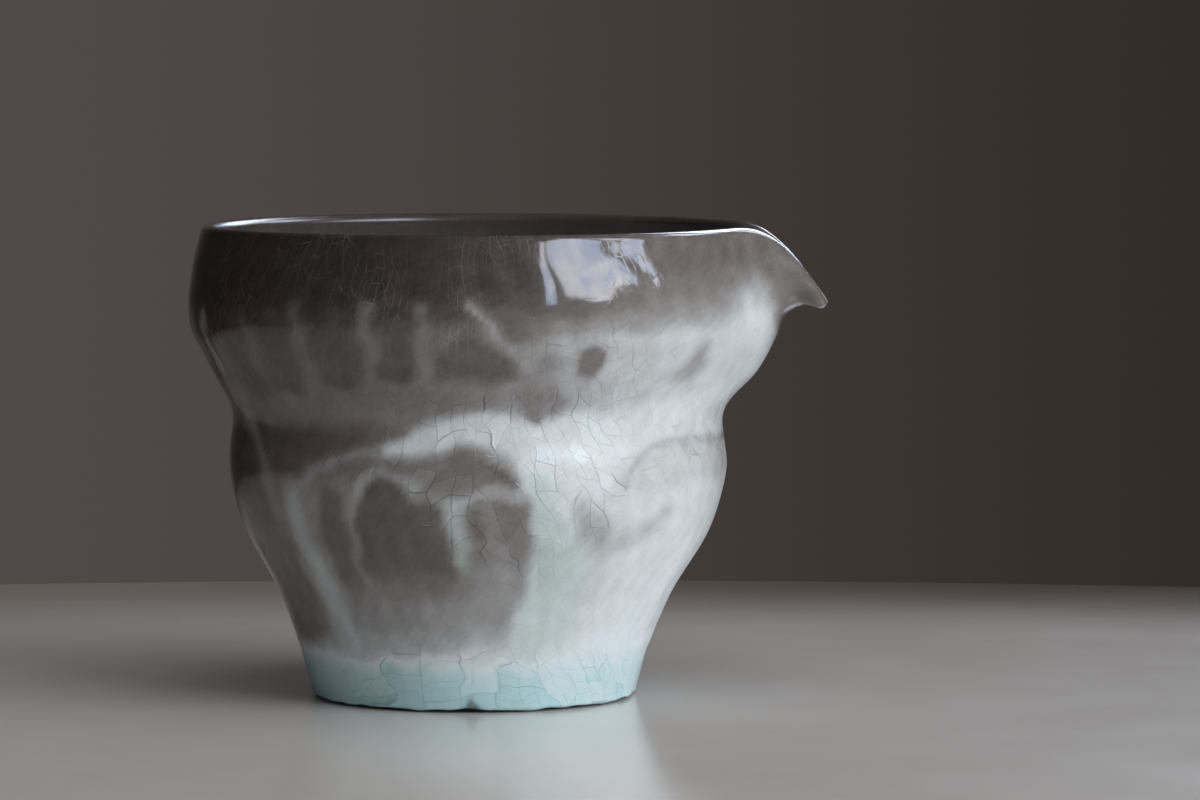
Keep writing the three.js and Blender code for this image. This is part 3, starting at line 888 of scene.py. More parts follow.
    def crackle(self, azimuth: Array, height: Array) -> Array:
        """Gives how strongly the crazing shows outside.

        Args:
            azimuth: Degrees round the bowl.
            height: Millimetres above the table.

        Returns:
            The strength at each point, from 0 to 1.
        """
        strength = np.clip(0.12 + self.crackle_wave.at(azimuth, height), 0.04, 0.3)
        for mark in self.carving.crackled:
            strength = blend(strength, mark.depth, mark.share(azimuth, height))
        return strength

    def hairlines(self, azimuth: Array, height: Array) -> Array:
        """Gives how strongly the fine light crazing shows outside: under the rim, and hardly on the petals.

        Args:
            azimuth: Degrees round the bowl.
            height: Millimetres above the table.

        Returns:
            The strength at each point, from 0 to 1.
        """
        patchy = np.clip(0.7 + self.hairline_wave.at(azimuth, height), 0.25, 1.0)
        return patchy * blend(0.12, 1.0, smoothstep(height, 39.0, 49.0))

    def inside(self, azimuth: Array, height: Array) -> tuple[Array, Array]:
        """Gives the depth and the tint of the inner glaze, which the throwing rings break up.

        Args:
            azimuth: Degrees round the bowl.
            height: Millimetres above the table.

        Returns:
            The depth at each point, and its tint.
        """
        raised = height + self.ring_lift.at(azimuth, height)
        rings = 0.04 * np.sin(height * 2.1 + self.ring_sway.at(azimuth, height))
        rings = rings * smoothstep(self.wall.height - height, 4.0, 12.0)
        spout = 0.3 * self.wall.spout_share(azimuth) * smoothstep(height, 52.0, 56.0)
        depth = np.interp(raised, *zip(*self.lining)) + rings + spout
        return np.maximum(depth, 0.0), np.zeros_like(depth)


class Spinner:
    """Spins an outline about the bowl's axis and lays its points on the pitcher."""

    def __init__(self, name: str, segments: int, crowding: float = 0.25) -> None:
        """Sets up the piece.

        Args:
            name: The piece's name.
            segments: Facets round the bowl.
            crowding: How much narrower they are at the spout, as a share.
        """
        self.name = name
        self.segments = segments
        self.crowding = crowding
        self.mesh = bmesh.new()
        self.row_of = self.mesh.verts.layers.int.new("row")

    def spin(self, poles: set[int], count: int, closed: bool) -> None:
        """Spins an outline of that many points, placed apart so that only those of a pole meet.

        Args:
            poles: The rows that lie on the axis.
            count: How many rows the outline has.
            closed: True where the last point joins the first.
        """
        step = 0.01
        meeting = step / 100.0
        points = [
            self.mesh.verts.new((0.0, 0.0 if row in poles else -1.0 - step * row, step * row))
            for row in range(count)
        ]
        for row, point in enumerate(points):
            point[self.row_of] = row
        pairs = list(zip(points, points[1:])) + ([(points[-1], points[0])] if closed else [])
        edges = [self.mesh.edges.new(pair) for pair in pairs]
        bmesh.ops.spin(
            self.mesh,
            geom=[*points, *edges],
            cent=(0.0, 0.0, 0.0),
            axis=(0.0, 0.0, 1.0),
            dvec=(0.0, 0.0, 0.0),
            angle=2.0 * math.pi,
            steps=self.segments,
            use_merge=True,
            use_normal_flip=False,
            use_duplicate=False,
        )
        bmesh.ops.remove_doubles(self.mesh, verts=self.mesh.verts, dist=meeting)

    def azimuths(self) -> tuple[Array, Array]:
        """Gives each point's azimuth in degrees, crowded towards the spout, and its row."""
        places = np.array([point.co[:] for point in self.mesh.verts])
        rows = np.array([point[self.row_of] for point in self.mesh.verts])
        even = np.arctan2(places[:, 0], -places[:, 1])
        return np.degrees(even - self.crowding * np.sin(even - math.pi / 2.0)), rows

    def lay(self, points: Array) -> None:
        """Moves every point of the mesh to its place, given in metres."""
        for point, place in zip(self.mesh.verts, points):
            point.co = place

    def finish(self, maps: dict[str, Array], flat: Array, crease: float = 50.0) -> bpy.types.Object:
        """Makes the object, smooth but for its sharp edges.

        Args:
            maps: Numbers at each point that the finishes read, by name.
            flat: Where each point lies on the flat sheet that the crazing is drawn on, across in turns.
            crease: Edges that turn by more than this many degrees stay sharp.

        Returns:
            The object, at the origin.
        """
        bmesh.ops.recalc_face_normals(self.mesh, faces=self.mesh.faces)
        for face in self.mesh.faces:
            face.smooth = True
        for edge in self.mesh.edges:
            if len(edge.link_faces) == 2 and edge.calc_face_angle(0.0) > math.radians(crease):
                edge.smooth = False
        made = new_object(self.name, self.mesh)
        data = made.data
        for name, values in maps.items():
            data.attributes.new(name, "FLOAT", "POINT").data.foreach_set("value", values.astype(np.float32))
        corners = np.empty(len(data.loops), dtype=int)
        data.loops.foreach_get("vertex_index", corners)
        starts = np.empty(len(data.polygons), dtype=int)
        data.polygons.foreach_get("loop_start", starts)
        sheet = flat[corners]
        counts = np.diff(np.append(starts, len(corners)))

        # A face that the seam of the sheet cuts through lies on one side of it as a whole
        highest = np.repeat(np.maximum.reduceat(sheet[:, 0], starts), counts)
        sheet[:, 0] += np.where(highest - sheet[:, 0] > 0.5, 1.0, 0.0)
        data.uv_layers.new(name="crazing").data.foreach_set("uv", sheet.astype(np.float32).ravel())
        return made


def laid_flat(points: Array) -> Array:
    """Gives places on the crazing's sheet of points that are flat already."""
    return np.stack([points[:, 0] / SHEET_WIDTH + 0.5, points[:, 1] / SHEET_UNIT], axis=-1)


@dataclass(frozen=True)
class Coat:
    """A glaze on the pitcher: its rows over the skin and back along the clay.

    Attributes:
        name: The piece's name.
        node: The CAD node that it stands for.
        slot: The material slot of that node; not used.
        rows: Its rows of points, from one end to the other.
        segments: Facets round the bowl.
        inside: True for the lining.
        pole: True where the rows begin and end on the axis.
        dimples: The small unevenness of its skin, in millimetres.
        swell: The wide one.
        uneven_heights: The heights between which its skin is uneven.
        lining_crackle: How strongly the crazing shows on the lining.
        lining_hairlines: The same of the hairlines.
        fan: How far the long cracks lean apart towards the sides, as millimetres over each one of height.
        fan_azimuth: Where they stand upright.
    """

    name: str
    node: str
    slot: str
    rows: tuple[Row, ...]
    segments: int
    inside: bool
    pole: bool
    dimples: tuple[Wave, ...] = (Wave(0.03, 8.5, 31), Wave(0.012, 3.4, 32))
    swell: Wave = Wave(0.025, 14.0, 33)
    uneven_heights: Band = Band(2.0, 6.0, 66.0, 69.5)
    lining_crackle: float = 0.6
    lining_hairlines: float = 0.25
    fan: float = 0.7
    fan_azimuth: float = -5.0

    def build(self, wall: Wall, depth: GlazeDepthAndPaintedLight, axis_x: float) -> bpy.types.Object:
        """Builds the coat.

        Args:
            wall: The pitcher's shape.
            depth: How deep the glaze stands, with its painted shade and highlight.
            axis_x: Where the bowl's axis is in the frame, in metres.

        Returns:
            The piece, riding on the body in place of its CAD node.
        """
        spinner = Spinner(self.name, self.segments)
        poles = {row for row, each in enumerate(self.rows) if each.kind is RowKind.FLOOR and each.at == 0.0}
        spinner.spin(poles, len(self.rows), closed=not self.pole)
        azimuth, rows = spinner.azimuths()
        points, into = np.zeros((len(azimuth), 3)), np.zeros((len(azimuth), 3))
        for row, each in enumerate(self.rows):
            chosen = rows == row
            layer = wall.layer(each, azimuth[chosen])
            points[chosen] = layer.back() if each.buried else layer.skin
            into[chosen] = layer.into
        height = points[:, 2].copy()
        buried = np.array([each.buried for each in self.rows])[rows]
        glaze, tint = (depth.inside if self.inside else depth.outside)(azimuth, height)
        if not self.inside:
            on_wall = np.array([each.kind is RowKind.WALL for each in self.rows])[rows]
            out = wall.raise_of(glaze, height) * on_wall + self.unevenness(azimuth, height)
            points -= into * np.where(buried, 0.0, out)[:, None]
        spinner.lay((wall.settled(points) + np.array([axis_x / MM, 0.0, 0.0])) * MM)
        if self.inside:
            crackle = np.full_like(azimuth, self.lining_crackle)
            hairlines = np.full_like(azimuth, self.lining_hairlines)
        else:
            crackle, hairlines = depth.crackle(azimuth, height), depth.hairlines(azimuth, height)
        maps = {
            "glaze_depth_and_painted_light": glaze,
            "glaze_tint": tint,
            "glaze_crackle": crackle,
            "glaze_hairlines": hairlines,
        }
        made = spinner.finish(maps, self.sheet(azimuth, rows, points))
        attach(made, BODY)
        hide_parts(self.node)
        return made

    def unevenness(self, azimuth: Array, height: Array) -> Array:
        """Gives how far the skin outside swells, in millimetres: less under the rim, and not at its ends."""
        dimples = rippled(azimuth, height, *self.dimples) * (1.0 - smoothstep(height, 55.0, 61.0))
        return (self.swell.at(azimuth, height) + dimples) * self.uneven_heights.share(height)

    def sheet(self, azimuth: Array, rows: Array, points: Array) -> Array:
        """Lays the coat out flat for the crazing.

        It is wrapped round outside, and spread from the floor's middle inside.

        Args:
            azimuth: Degrees round the bowl.
            rows: Each point's row.
            points: Each point's place, in millimetres about the bowl's axis.

        Returns:
            Each point's place on the sheet, in turns of the waist and in tenths of a metre.
        """
        if not self.inside:
            turn = np.radians(azimuth - self.fan_azimuth)
            lean = self.fan * np.sin(turn) * (points[:, 2] - Wall.waist_height)
            return np.stack([azimuth / 360.0 + 0.5 + lean / SHEET_WIDTH, points[:, 2] / SHEET_UNIT], axis=-1)
        front = self.front_line(rows, azimuth, points)
        profile = np.array([(np.hypot(x, y), height) for x, y, height in front])
        steps = np.hypot(*np.diff(profile[::-1], axis=0).T)
        reach = np.append(0.0, np.cumsum(steps))[::-1][rows]
        return laid_flat(around(azimuth, reach, 0.0))

    def front_line(self, rows: Array, azimuth: Array, points: Array) -> Array:
        """Gives the point of each row that is nearest the front."""
        front = np.zeros((len(self.rows), 3))
        order = np.argsort(-np.abs(azimuth))
        front[rows[order]] = points[order]
        return front


def spread(kind: RowKind, start: float, end: float, count: int, buried: bool = False) -> list[Row]:
    """Gives rows of one kind from start to end, spread evenly, both ends included."""
    return [Row(kind, float(at), buried) for at in np.linspace(start, end, count)]


def outer_coat() -> Coat:
    """Gives the coat on the outside, from its bead at the foot to the crown of the lip."""
    skin = [
        *spread(RowKind.BEAD, 90.0, 0.0, 7),
        *spread(RowKind.FOOT, 0.08, 0.96, 12),
        *spread(RowKind.WALL, 0.0, Wall.edge, 109),
        *spread(RowKind.LIP, 10.0, 90.0, 9),
    ]
    back = [
        *spread(RowKind.LIP, 90.0, 30.0, 3, True),
        *spread(RowKind.WALL, Wall.edge, 0.0, 28, True),
        Row(RowKind.BEAD, 180.0),
        Row(RowKind.BEAD, 135.0),
    ]
    return Coat("outer_glaze_coat", "outer_glaze", "outer_glaze", (*skin, *back), 320, False, False)


def inner_coat() -> Coat:
    """Gives the coat on the inside, from the crown of the lip to the middle of the floor."""
    back = [
        *spread(RowKind.FLOOR, 0.0, 0.85, 7, True),
        *spread(RowKind.LINING, Wall.floor_place, Wall.edge, 24, True),
        *spread(RowKind.LIP, 150.0, 90.0, 3, True),
    ]
    skin = [
        *spread(RowKind.LIP, 90.0, 170.0, 9),
        *spread(RowKind.LINING, Wall.edge, Wall.floor_place, 81),
        *spread(RowKind.FLOOR, 0.97, 0.0, 26),
    ]
    return Coat("inner_glaze_coat", "inner_glaze", "inner_glaze", (*back, *skin), 300, True, True)


@dataclass(frozen=True)
class Foot:
    """The turned foot ring and the glaze in its recess, in millimetres about the foot's own axis."""

    ring_height: float = 4.2
    ring_width: float = 4.8
    draft: float = 0.6
    chamfer: float = 0.6
    clay_gap: float = 0.3
    glaze_gap: float = 0.15
    base_glaze: float = 0.7
    base_line: float = 1.9
    corner: float = 1.6
    ring_relief: float = 0.05
    groove_relief: float = 0.03
    base_wave: Wave = Wave(0.05, 9.0, 41)
    base_mottle: Wave = Wave(0.1, 6.0, 42)

    def clay_radius(self, wall: Wall, height: float) -> float:
        """Gives the radius of the clay under the foot's glaze, at a height."""
        under = wall.foot_glaze + self.glaze_gap
        share = (height - wall.cad_glaze_line) / (wall.ankle_height - wall.cad_glaze_line)
        return blend(wall.foot_radius, wall.ankle_radius, share) - under

    def inner_radius(self, wall: Wall, height: float) -> float:
        """Gives the ring's inner radius at a height."""
        return self.clay_radius(wall, 0.0) - self.ring_width - self.draft * height / self.ring_height

    def build_ring(self, wall: Wall, axis_x: float) -> bpy.types.Object:
        """Builds the bare clay ring on which the pitcher stands, its edges wiped round.

        Args:
            wall: The pitcher's shape.
            axis_x: Where the foot's axis is in the frame, in metres.

        Returns:
            The piece, riding on the body in place of its CAD node.
        """
        top = self.ring_height - self.clay_gap
        round_edge = [(math.cos(t), math.sin(t)) for t in np.linspace(0.0, math.pi / 2.0, 6)]
        outer, inner = self.clay_radius(wall, 0.0), self.inner_radius(wall, 0.0)
        size = self.chamfer
        outline = [
            *((outer - size + size * x, size - size * y) for x, y in round_edge),
            *((radius, 0.0) for radius in np.linspace(outer - size, inner + size, 17)[1:-1]),
            *((inner + size - size * x, size - size * y) for x, y in reversed(round_edge)),
            *((self.inner_radius(wall, height), height) for height in np.linspace(size, top, 9)[1:]),
            *((self.clay_radius(wall, height), height) for height in np.linspace(top, size, 9)[:-1]),
        ]
        spinner = Spinner("turned_foot", 224, 0.0)
        spinner.spin(set(), len(outline), closed=True)
        azimuth, rows = spinner.azimuths()
        radius, height = np.array(outline)[rows].T
        on_inside = (radius < outer - 2.0) & (height > size)
        rings = np.sin(9.0 * height + 0.6 * np.sin(np.radians(azimuth))) * on_inside
        underside = (height < 0.01) & (radius <= outer - size - 0.1) & (radius >= inner + size + 0.1)
        grooves = (1.0 + np.sin(11.0 * radius + 0.8 * np.sin(np.radians(2.0 * azimuth)))) * underside
        points = around(azimuth, radius + self.ring_relief * rings, height + self.groove_relief * grooves)
        spinner.lay(points * MM + np.array([axis_x, 0.0, 0.0]))
        made = spinner.finish({}, laid_flat(points))
        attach(made, BODY)
        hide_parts("foot_ring")
        return made

    def build_base(self, wall: Wall, axis_x: float) -> bpy.types.Object:
        """Builds the glaze in the foot's recess, whose edge runs unevenly down the inside of the ring.

        Args:
            wall: The pitcher's shape.
            axis_x: Where the foot's axis is in the frame, in metres.

        Returns:
            The piece, riding on the body in place of its CAD node.
        """
        top = self.ring_height - self.glaze_gap
        bottom = top - self.base_glaze
        edge = self.inner_radius(wall, bottom) - self.glaze_gap
        corner = self.corner
        flat_rows = 22
        bend = [(math.sin(t), math.cos(t)) for t in np.linspace(0.0, math.pi / 2.0, 9)]
        lip = self.inner_radius(wall, self.base_line) - self.glaze_gap
        outline = [
            *((radius, bottom) for radius in np.linspace(0.0, edge - corner - 0.3, flat_rows)),
            *((edge - 0.3 - corner + (corner - 0.2) * x, bottom - 0.9 * (1.0 - y)) for x, y in bend[1:]),
            (lip - 0.4, self.base_line + 0.25),
            (lip - 0.25, self.base_line),
            (lip, self.base_line + 0.1),
            (self.inner_radius(wall, top) - self.glaze_gap, top),
            (0.0, top),
        ]
        spinner = Spinner("base_glaze_coat", 224, 0.0)
        spinner.spin({0, len(outline) - 1}, len(outline), closed=False)
        azimuth, rows = spinner.azimuths()
        radius, height = np.array(outline)[rows].T
        wave = self.base_wave.at(azimuth, radius) * smoothstep(radius, 0.5, 4.0) * (rows < flat_rows)
        height = height - np.abs(wave)
        points = around(azimuth, radius, height)
        spinner.lay(points * MM + np.array([axis_x, 0.0, 0.0]))
        depth = 1.25 + 0.35 * smoothstep(radius, 10.0, edge) + self.base_mottle.at(azimuth, radius)
        even = np.ones_like(depth)
        maps = {
            "glaze_depth_and_painted_light": depth,
            "glaze_tint": np.zeros_like(depth),
            "glaze_crackle": 0.8 * even,
            "glaze_hairlines": even,
        }
        made = spinner.finish(maps, laid_flat(points))
        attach(made, BODY)
        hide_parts("base_glaze")
        return made


class Graph:
    """A material's or a group's nodes, with short ways to add and join them."""

    def __init__(self, tree: bpy.types.NodeTree) -> None:
        """Keeps the tree that the nodes go in."""
        self.tree = tree

    def add(self, kind: str, **settings: object) -> bpy.types.Node:
        """Adds a node and sets its properties."""
        node = self.tree.nodes.new(kind)
        for name, value in settings.items():
            setattr(node, name, value)
        return node

    def feed(self, socket: Socket, value: object) -> None:
        """Gives a socket its value, or links it where the value is another node's socket."""
        if isinstance(value, bpy.types.NodeSocket):
            self.tree.links.new(value, socket)
        elif isinstance(value, tuple) and len(value) == 3 and socket.type == "RGBA":
            socket.default_value = (*value, 1.0)
        else:
            socket.default_value = value

    def math(self, operation: str, *values: object, clamp: bool = False) -> Socket:
        """Adds a Math node and gives its result."""
        node = self.add("ShaderNodeMath", operation=operation, use_clamp=clamp)
        for socket, value in zip(node.inputs, values):
            self.feed(socket, value)
        return node.outputs[0]

    def product(self, first: object, *others: object) -> Socket:
        """Multiplies numbers."""
        for other in others:
            first = self.math("MULTIPLY", first, other)
        return first

    def total(self, first: object, *others: object) -> Socket:
        """Adds numbers up."""
        for other in others:
            first = self.math("ADD", first, other)
        return first

    def swing(self, value: Socket, amount: object) -> Socket:
        """Turns a value from 0 to 1 into one that swings about 0, over an amount in all."""
        return self.math("MULTIPLY", self.math("SUBTRACT", value, 0.5), amount)

    def vector(self, operation: str, *values: object) -> Socket:
        """Adds a Vector Math node and gives its result."""
        node = self.add("ShaderNodeVectorMath", operation=operation)
        for socket, value in zip(node.inputs, values):
            self.feed(socket, value)
        return node.outputs["Value" if operation == "LENGTH" else "Vector"]

    def scaled(self, vector: object, scale: object) -> Socket:
        """Gives a vector times a number."""
        node = self.add("ShaderNodeVectorMath", operation="SCALE")
        self.feed(node.inputs[0], vector)
        self.feed(node.inputs["Scale"], scale)
        return node.outputs["Vector"]

    def joined(self, *parts: object) -> Socket:
        """Gives the vector that some numbers make."""
        node = self.add("ShaderNodeCombineXYZ")
        for socket, value in zip(node.inputs, parts):
            self.feed(socket, value)
        return node.outputs[0]

    def parts(self, vector: Socket) -> bpy.types.NodeOutputs:
        """Gives the X, Y and Z of a vector."""
        node = self.add("ShaderNodeSeparateXYZ")
        self.feed(node.inputs[0], vector)
        return node.outputs

    def channels(self, colour: Socket) -> bpy.types.NodeOutputs:
        """Gives the Red, Green and Blue of a colour."""
        node = self.add("ShaderNodeSeparateColor")
        self.feed(node.inputs[0], colour)
        return node.outputs

    def place(self) -> Socket:
        """Gives the place on the object, in metres."""
        return self.add("ShaderNodeTexCoord").outputs["Object"]

    def mix(self, share: object, low: object, high: object, mode: str = "MIX") -> Socket:
        """Mixes two colours and gives the result."""
        node = self.add("ShaderNodeMix", data_type="RGBA", blend_type=mode, clamp_factor=True)
        self.feed(node.inputs["Factor"], share)
        self.feed(node.inputs[6], low)
        self.feed(node.inputs[7], high)
        return node.outputs[2]

    def span(
        self, value: Socket, low: float, high: float, to_low: float = 0.0, to_high: float = 1.0,
    ) -> Socket:
        """Carries a value from one range to another, smoothly and held at the ends."""
        node = self.add("ShaderNodeMapRange", interpolation_type="SMOOTHSTEP", clamp=True)
        ends = {"From Min": low, "From Max": high, "To Min": to_low, "To Max": to_high}
        for name, number in ends.items():
            node.inputs[name].default_value = number
        self.feed(node.inputs["Value"], value)
        return node.outputs["Result"]

    def ramp(self, value: Socket, stops: tuple[tuple[float, Colour], ...]) -> Socket:
        """Turns a value from 0 to 1 into a colour through stops."""
        node = self.add("ShaderNodeValToRGB")
        elements = node.color_ramp.elements
        elements.remove(elements[1])
        elements[0].position = stops[0][0]
        elements[0].color = (*stops[0][1], 1.0)
        for place, colour in stops[1:]:
            elements.new(place).color = (*colour, 1.0)
        self.feed(node.inputs["Fac"], value)
        return node.outputs["Color"]

    def random(self, *numbers: object) -> bpy.types.NodeOutputs:
        """Gives the channels of a random colour that belongs to three numbers."""
        white = self.add("ShaderNodeTexWhiteNoise", noise_dimensions="3D")
        self.feed(white.inputs["Vector"], self.joined(*numbers))
        return self.channels(white.outputs["Color"])

    def noise(self, vector: Socket, scale: float, detail: float, roughness: float = 0.55) -> bpy.types.Node:
        """Adds a Noise Texture on a vector."""
        node = self.add("ShaderNodeTexNoise", noise_dimensions="3D")
        self.feed(node.inputs["Vector"], vector)
        for name, number in (("Scale", scale), ("Detail", detail), ("Roughness", roughness)):
            node.inputs[name].default_value = number
        return node

    def group(self, tree: bpy.types.NodeTree, **values: float) -> bpy.types.NodeOutputs:
        """Places a group with its own values and gives its outputs."""
        node = self.add("ShaderNodeGroup", node_tree=tree)
        for name, value in values.items():
            node.inputs[name.title()].default_value = value
        return node.outputs

    def relief(self, shader: bpy.types.Node, level: Socket, strength: float, distance: float) -> None:
        """Bends a shader's normal by a level, with the distance of one unit in metres."""
        bump = self.add("ShaderNodeBump")
        bump.inputs["Strength"].default_value = strength
        bump.inputs["Distance"].default_value = distance
        self.feed(bump.inputs["Height"], level)
        self.feed(shader.inputs["Normal"], bump.outputs["Normal"])


def new_material(name: str) -> tuple[bpy.types.Material, Graph, bpy.types.Node]:
    """Makes a material and gives it with its nodes and its shader."""
    material = bpy.data.materials.new(name)
    material.use_nodes = True
    return material, Graph(material.node_tree), material.node_tree.nodes["Principled BSDF"]


def new_group(name: str, inputs: dict[str, float], outputs: tuple[str, ...]) -> bpy.types.NodeTree:
    """Makes an empty shader group with named number sockets.

    Args:
        name: The group's name.
        inputs: Each input's default value, by name.
        outputs: Each output's name.

    Returns:
        The group, without nodes.
    """
    tree = bpy.data.node_groups.new(name, "ShaderNodeTree")
    for label, default in inputs.items():
        socket = tree.interface.new_socket(name=label, in_out="INPUT", socket_type="NodeSocketFloat")
        socket.default_value = default
    for label in outputs:
        tree.interface.new_socket(name=label, in_out="OUTPUT", socket_type="NodeSocketFloat")
    return tree


def crazing_group() -> bpy.types.NodeTree:
    """Builds the group that crazes a glaze: long cracks up the wall, and short ones across between them.

    Columns is how many long cracks go round the bowl, and Rows how many short ones lie in a tenth of a metre.
    Crack is 1 along the cracks, Shade tilts each flake between them its own way, and Flake is its own tone.
    """
    inputs = {"Columns": 66.0, "Rows": 20.0, "Wander": 0.8, "Width": 0.0001, "Seed": 0.0}
    tree = new_group("crazing", inputs, ("Crack", "Shade", "Flake"))
    graph = Graph(tree)
    source, result = graph.add("NodeGroupInput"), graph.add("NodeGroupOutput")
    columns, rows, wander, width, seed = (source.outputs[name] for name in inputs)
    sheet = graph.parts(graph.add("ShaderNodeUVMap", uv_map="crazing").outputs["UV"])

    # The cracks wander across and up
    shifted = graph.vector("ADD", graph.scaled(graph.place(), 110.0), graph.joined(seed))
    bends = graph.channels(graph.noise(shifted, 1.0, 2.0, 0.45).outputs["Color"])
    sway, rise = (graph.swing(bends[name], wander) for name in ("Red", "Green"))

    # The long cracks part the sheet into columns
    across = graph.product(graph.total(sheet["X"], graph.product(sway, 0.03)), columns)
    column = graph.math("FLOOR", across)
    part = graph.math("SUBTRACT", across, column)
    wrapped = graph.math("FLOORED_MODULO", column, columns)
    of_column = graph.random(wrapped, 0.0, seed)

    # The short ones part each column into flakes, each column from its own height and at its own slant
    slant = graph.swing(of_column["Green"], 1.9)
    up = graph.product(graph.total(sheet["Y"], graph.product(rise, 0.06)), rows)
    up = graph.total(up, graph.product(of_column["Red"], 7.0), graph.swing(part, slant))
    row = graph.math("FLOOR", up)
    part_up = graph.math("SUBTRACT", up, row)
    of_flake = graph.random(wrapped, row, seed)

    nearest = []
    for share, length, count in ((part, SHEET_WIDTH * MM, columns), (part_up, SHEET_UNIT * MM, rows)):
        to_edge = graph.math("MINIMUM", share, graph.math("SUBTRACT", 1.0, share))
        nearest.append(graph.math("DIVIDE", graph.product(to_edge, length), count))
    near_crack = graph.math("DIVIDE", graph.math("MINIMUM", *nearest), width)
    shown = graph.span(of_flake["Blue"], 0.15, 0.75, 0.15, 1.0)
    on_crack = graph.math("SUBTRACT", 1.0, near_crack, clamp=True)
    tilts = [
        graph.swing(share, graph.math("SUBTRACT", of_flake[name], 0.5))
        for share, name in ((part, "Red"), (part_up, "Green"))
    ]
    graph.feed(result.inputs["Crack"], graph.product(on_crack, shown))
    graph.feed(result.inputs["Shade"], graph.total(0.5, *tilts))
    graph.feed(result.inputs["Flake"], of_flake["Blue"])
    return tree


def grain_group() -> bpy.types.NodeTree:
    """Builds the group that mottles clay and glaze with fine grain and sparse specks."""
    tree = new_group("grain", {"Scale": 1.0}, ("Cloud", "Grain", "Speck"))
    graph = Graph(tree)
    source, result = graph.add("NodeGroupInput"), graph.add("NodeGroupOutput")
    scaled = graph.scaled(graph.place(), source.outputs["Scale"])
    graph.feed(result.inputs["Cloud"], graph.noise(scaled, 120.0, 4.0, 0.6).outputs["Fac"])
    graph.feed(result.inputs["Grain"], graph.noise(scaled, 2200.0, 3.0, 0.65).outputs["Fac"])
    specks = graph.add("ShaderNodeTexVoronoi", feature="F1", voronoi_dimensions="3D")
    graph.feed(specks.inputs["Vector"], scaled)
    specks.inputs["Scale"].default_value = 900.0
    graph.feed(result.inputs["Speck"], graph.span(specks.outputs["Distance"], 0.10, 0.22, 1.0, 0.0))
    return tree


@dataclass(frozen=True)
class Effects:
    """The shader groups that the finishes share."""

    crazing: bpy.types.NodeTree
    grain: bpy.types.NodeTree


@dataclass(frozen=True)
class Net:
    """One net of cracks.

    Attributes:
        columns: How many long cracks go round the bowl.
        rows: How many short ones lie in a tenth of a metre.
        wander: How far they wander.
        width: Half a crack's width, in metres.
        seed: Picks the pattern.
    """

    columns: float
    rows: float
    wander: float
    width: float
    seed: float


@dataclass(frozen=True)
class GlazeMasks:
    """What a glaze's colour, gloss and relief are worked out from: its depth, its tint and its cracks.

    Attributes:
        depth: How deep it stands.
        tint: From -1, iron brown, to 1, green.
        heavy: How far its coarse flakes show, more where the glaze has pooled.
        cracks: The coarse dark cracks.
        faint: The fine dark ones between them.
        threads: The light hairlines, where it is thin.
        seams: The coarse light cracks, where it is thin.
        flake: Each coarse flake's own tone, swinging about 0.
        facets: The tilt of each coarse flake, swinging about 0.
        chips: The same of the fine ones.
        dark_share: How far a coarse crack darkens the glaze, less where it has pooled.
    """

    depth: Socket
    tint: Socket
    heavy: Socket
    cracks: Socket
    faint: Socket
    threads: Socket
    seams: Socket
    flake: Socket
    facets: Socket
    chips: Socket
    dark_share: Socket


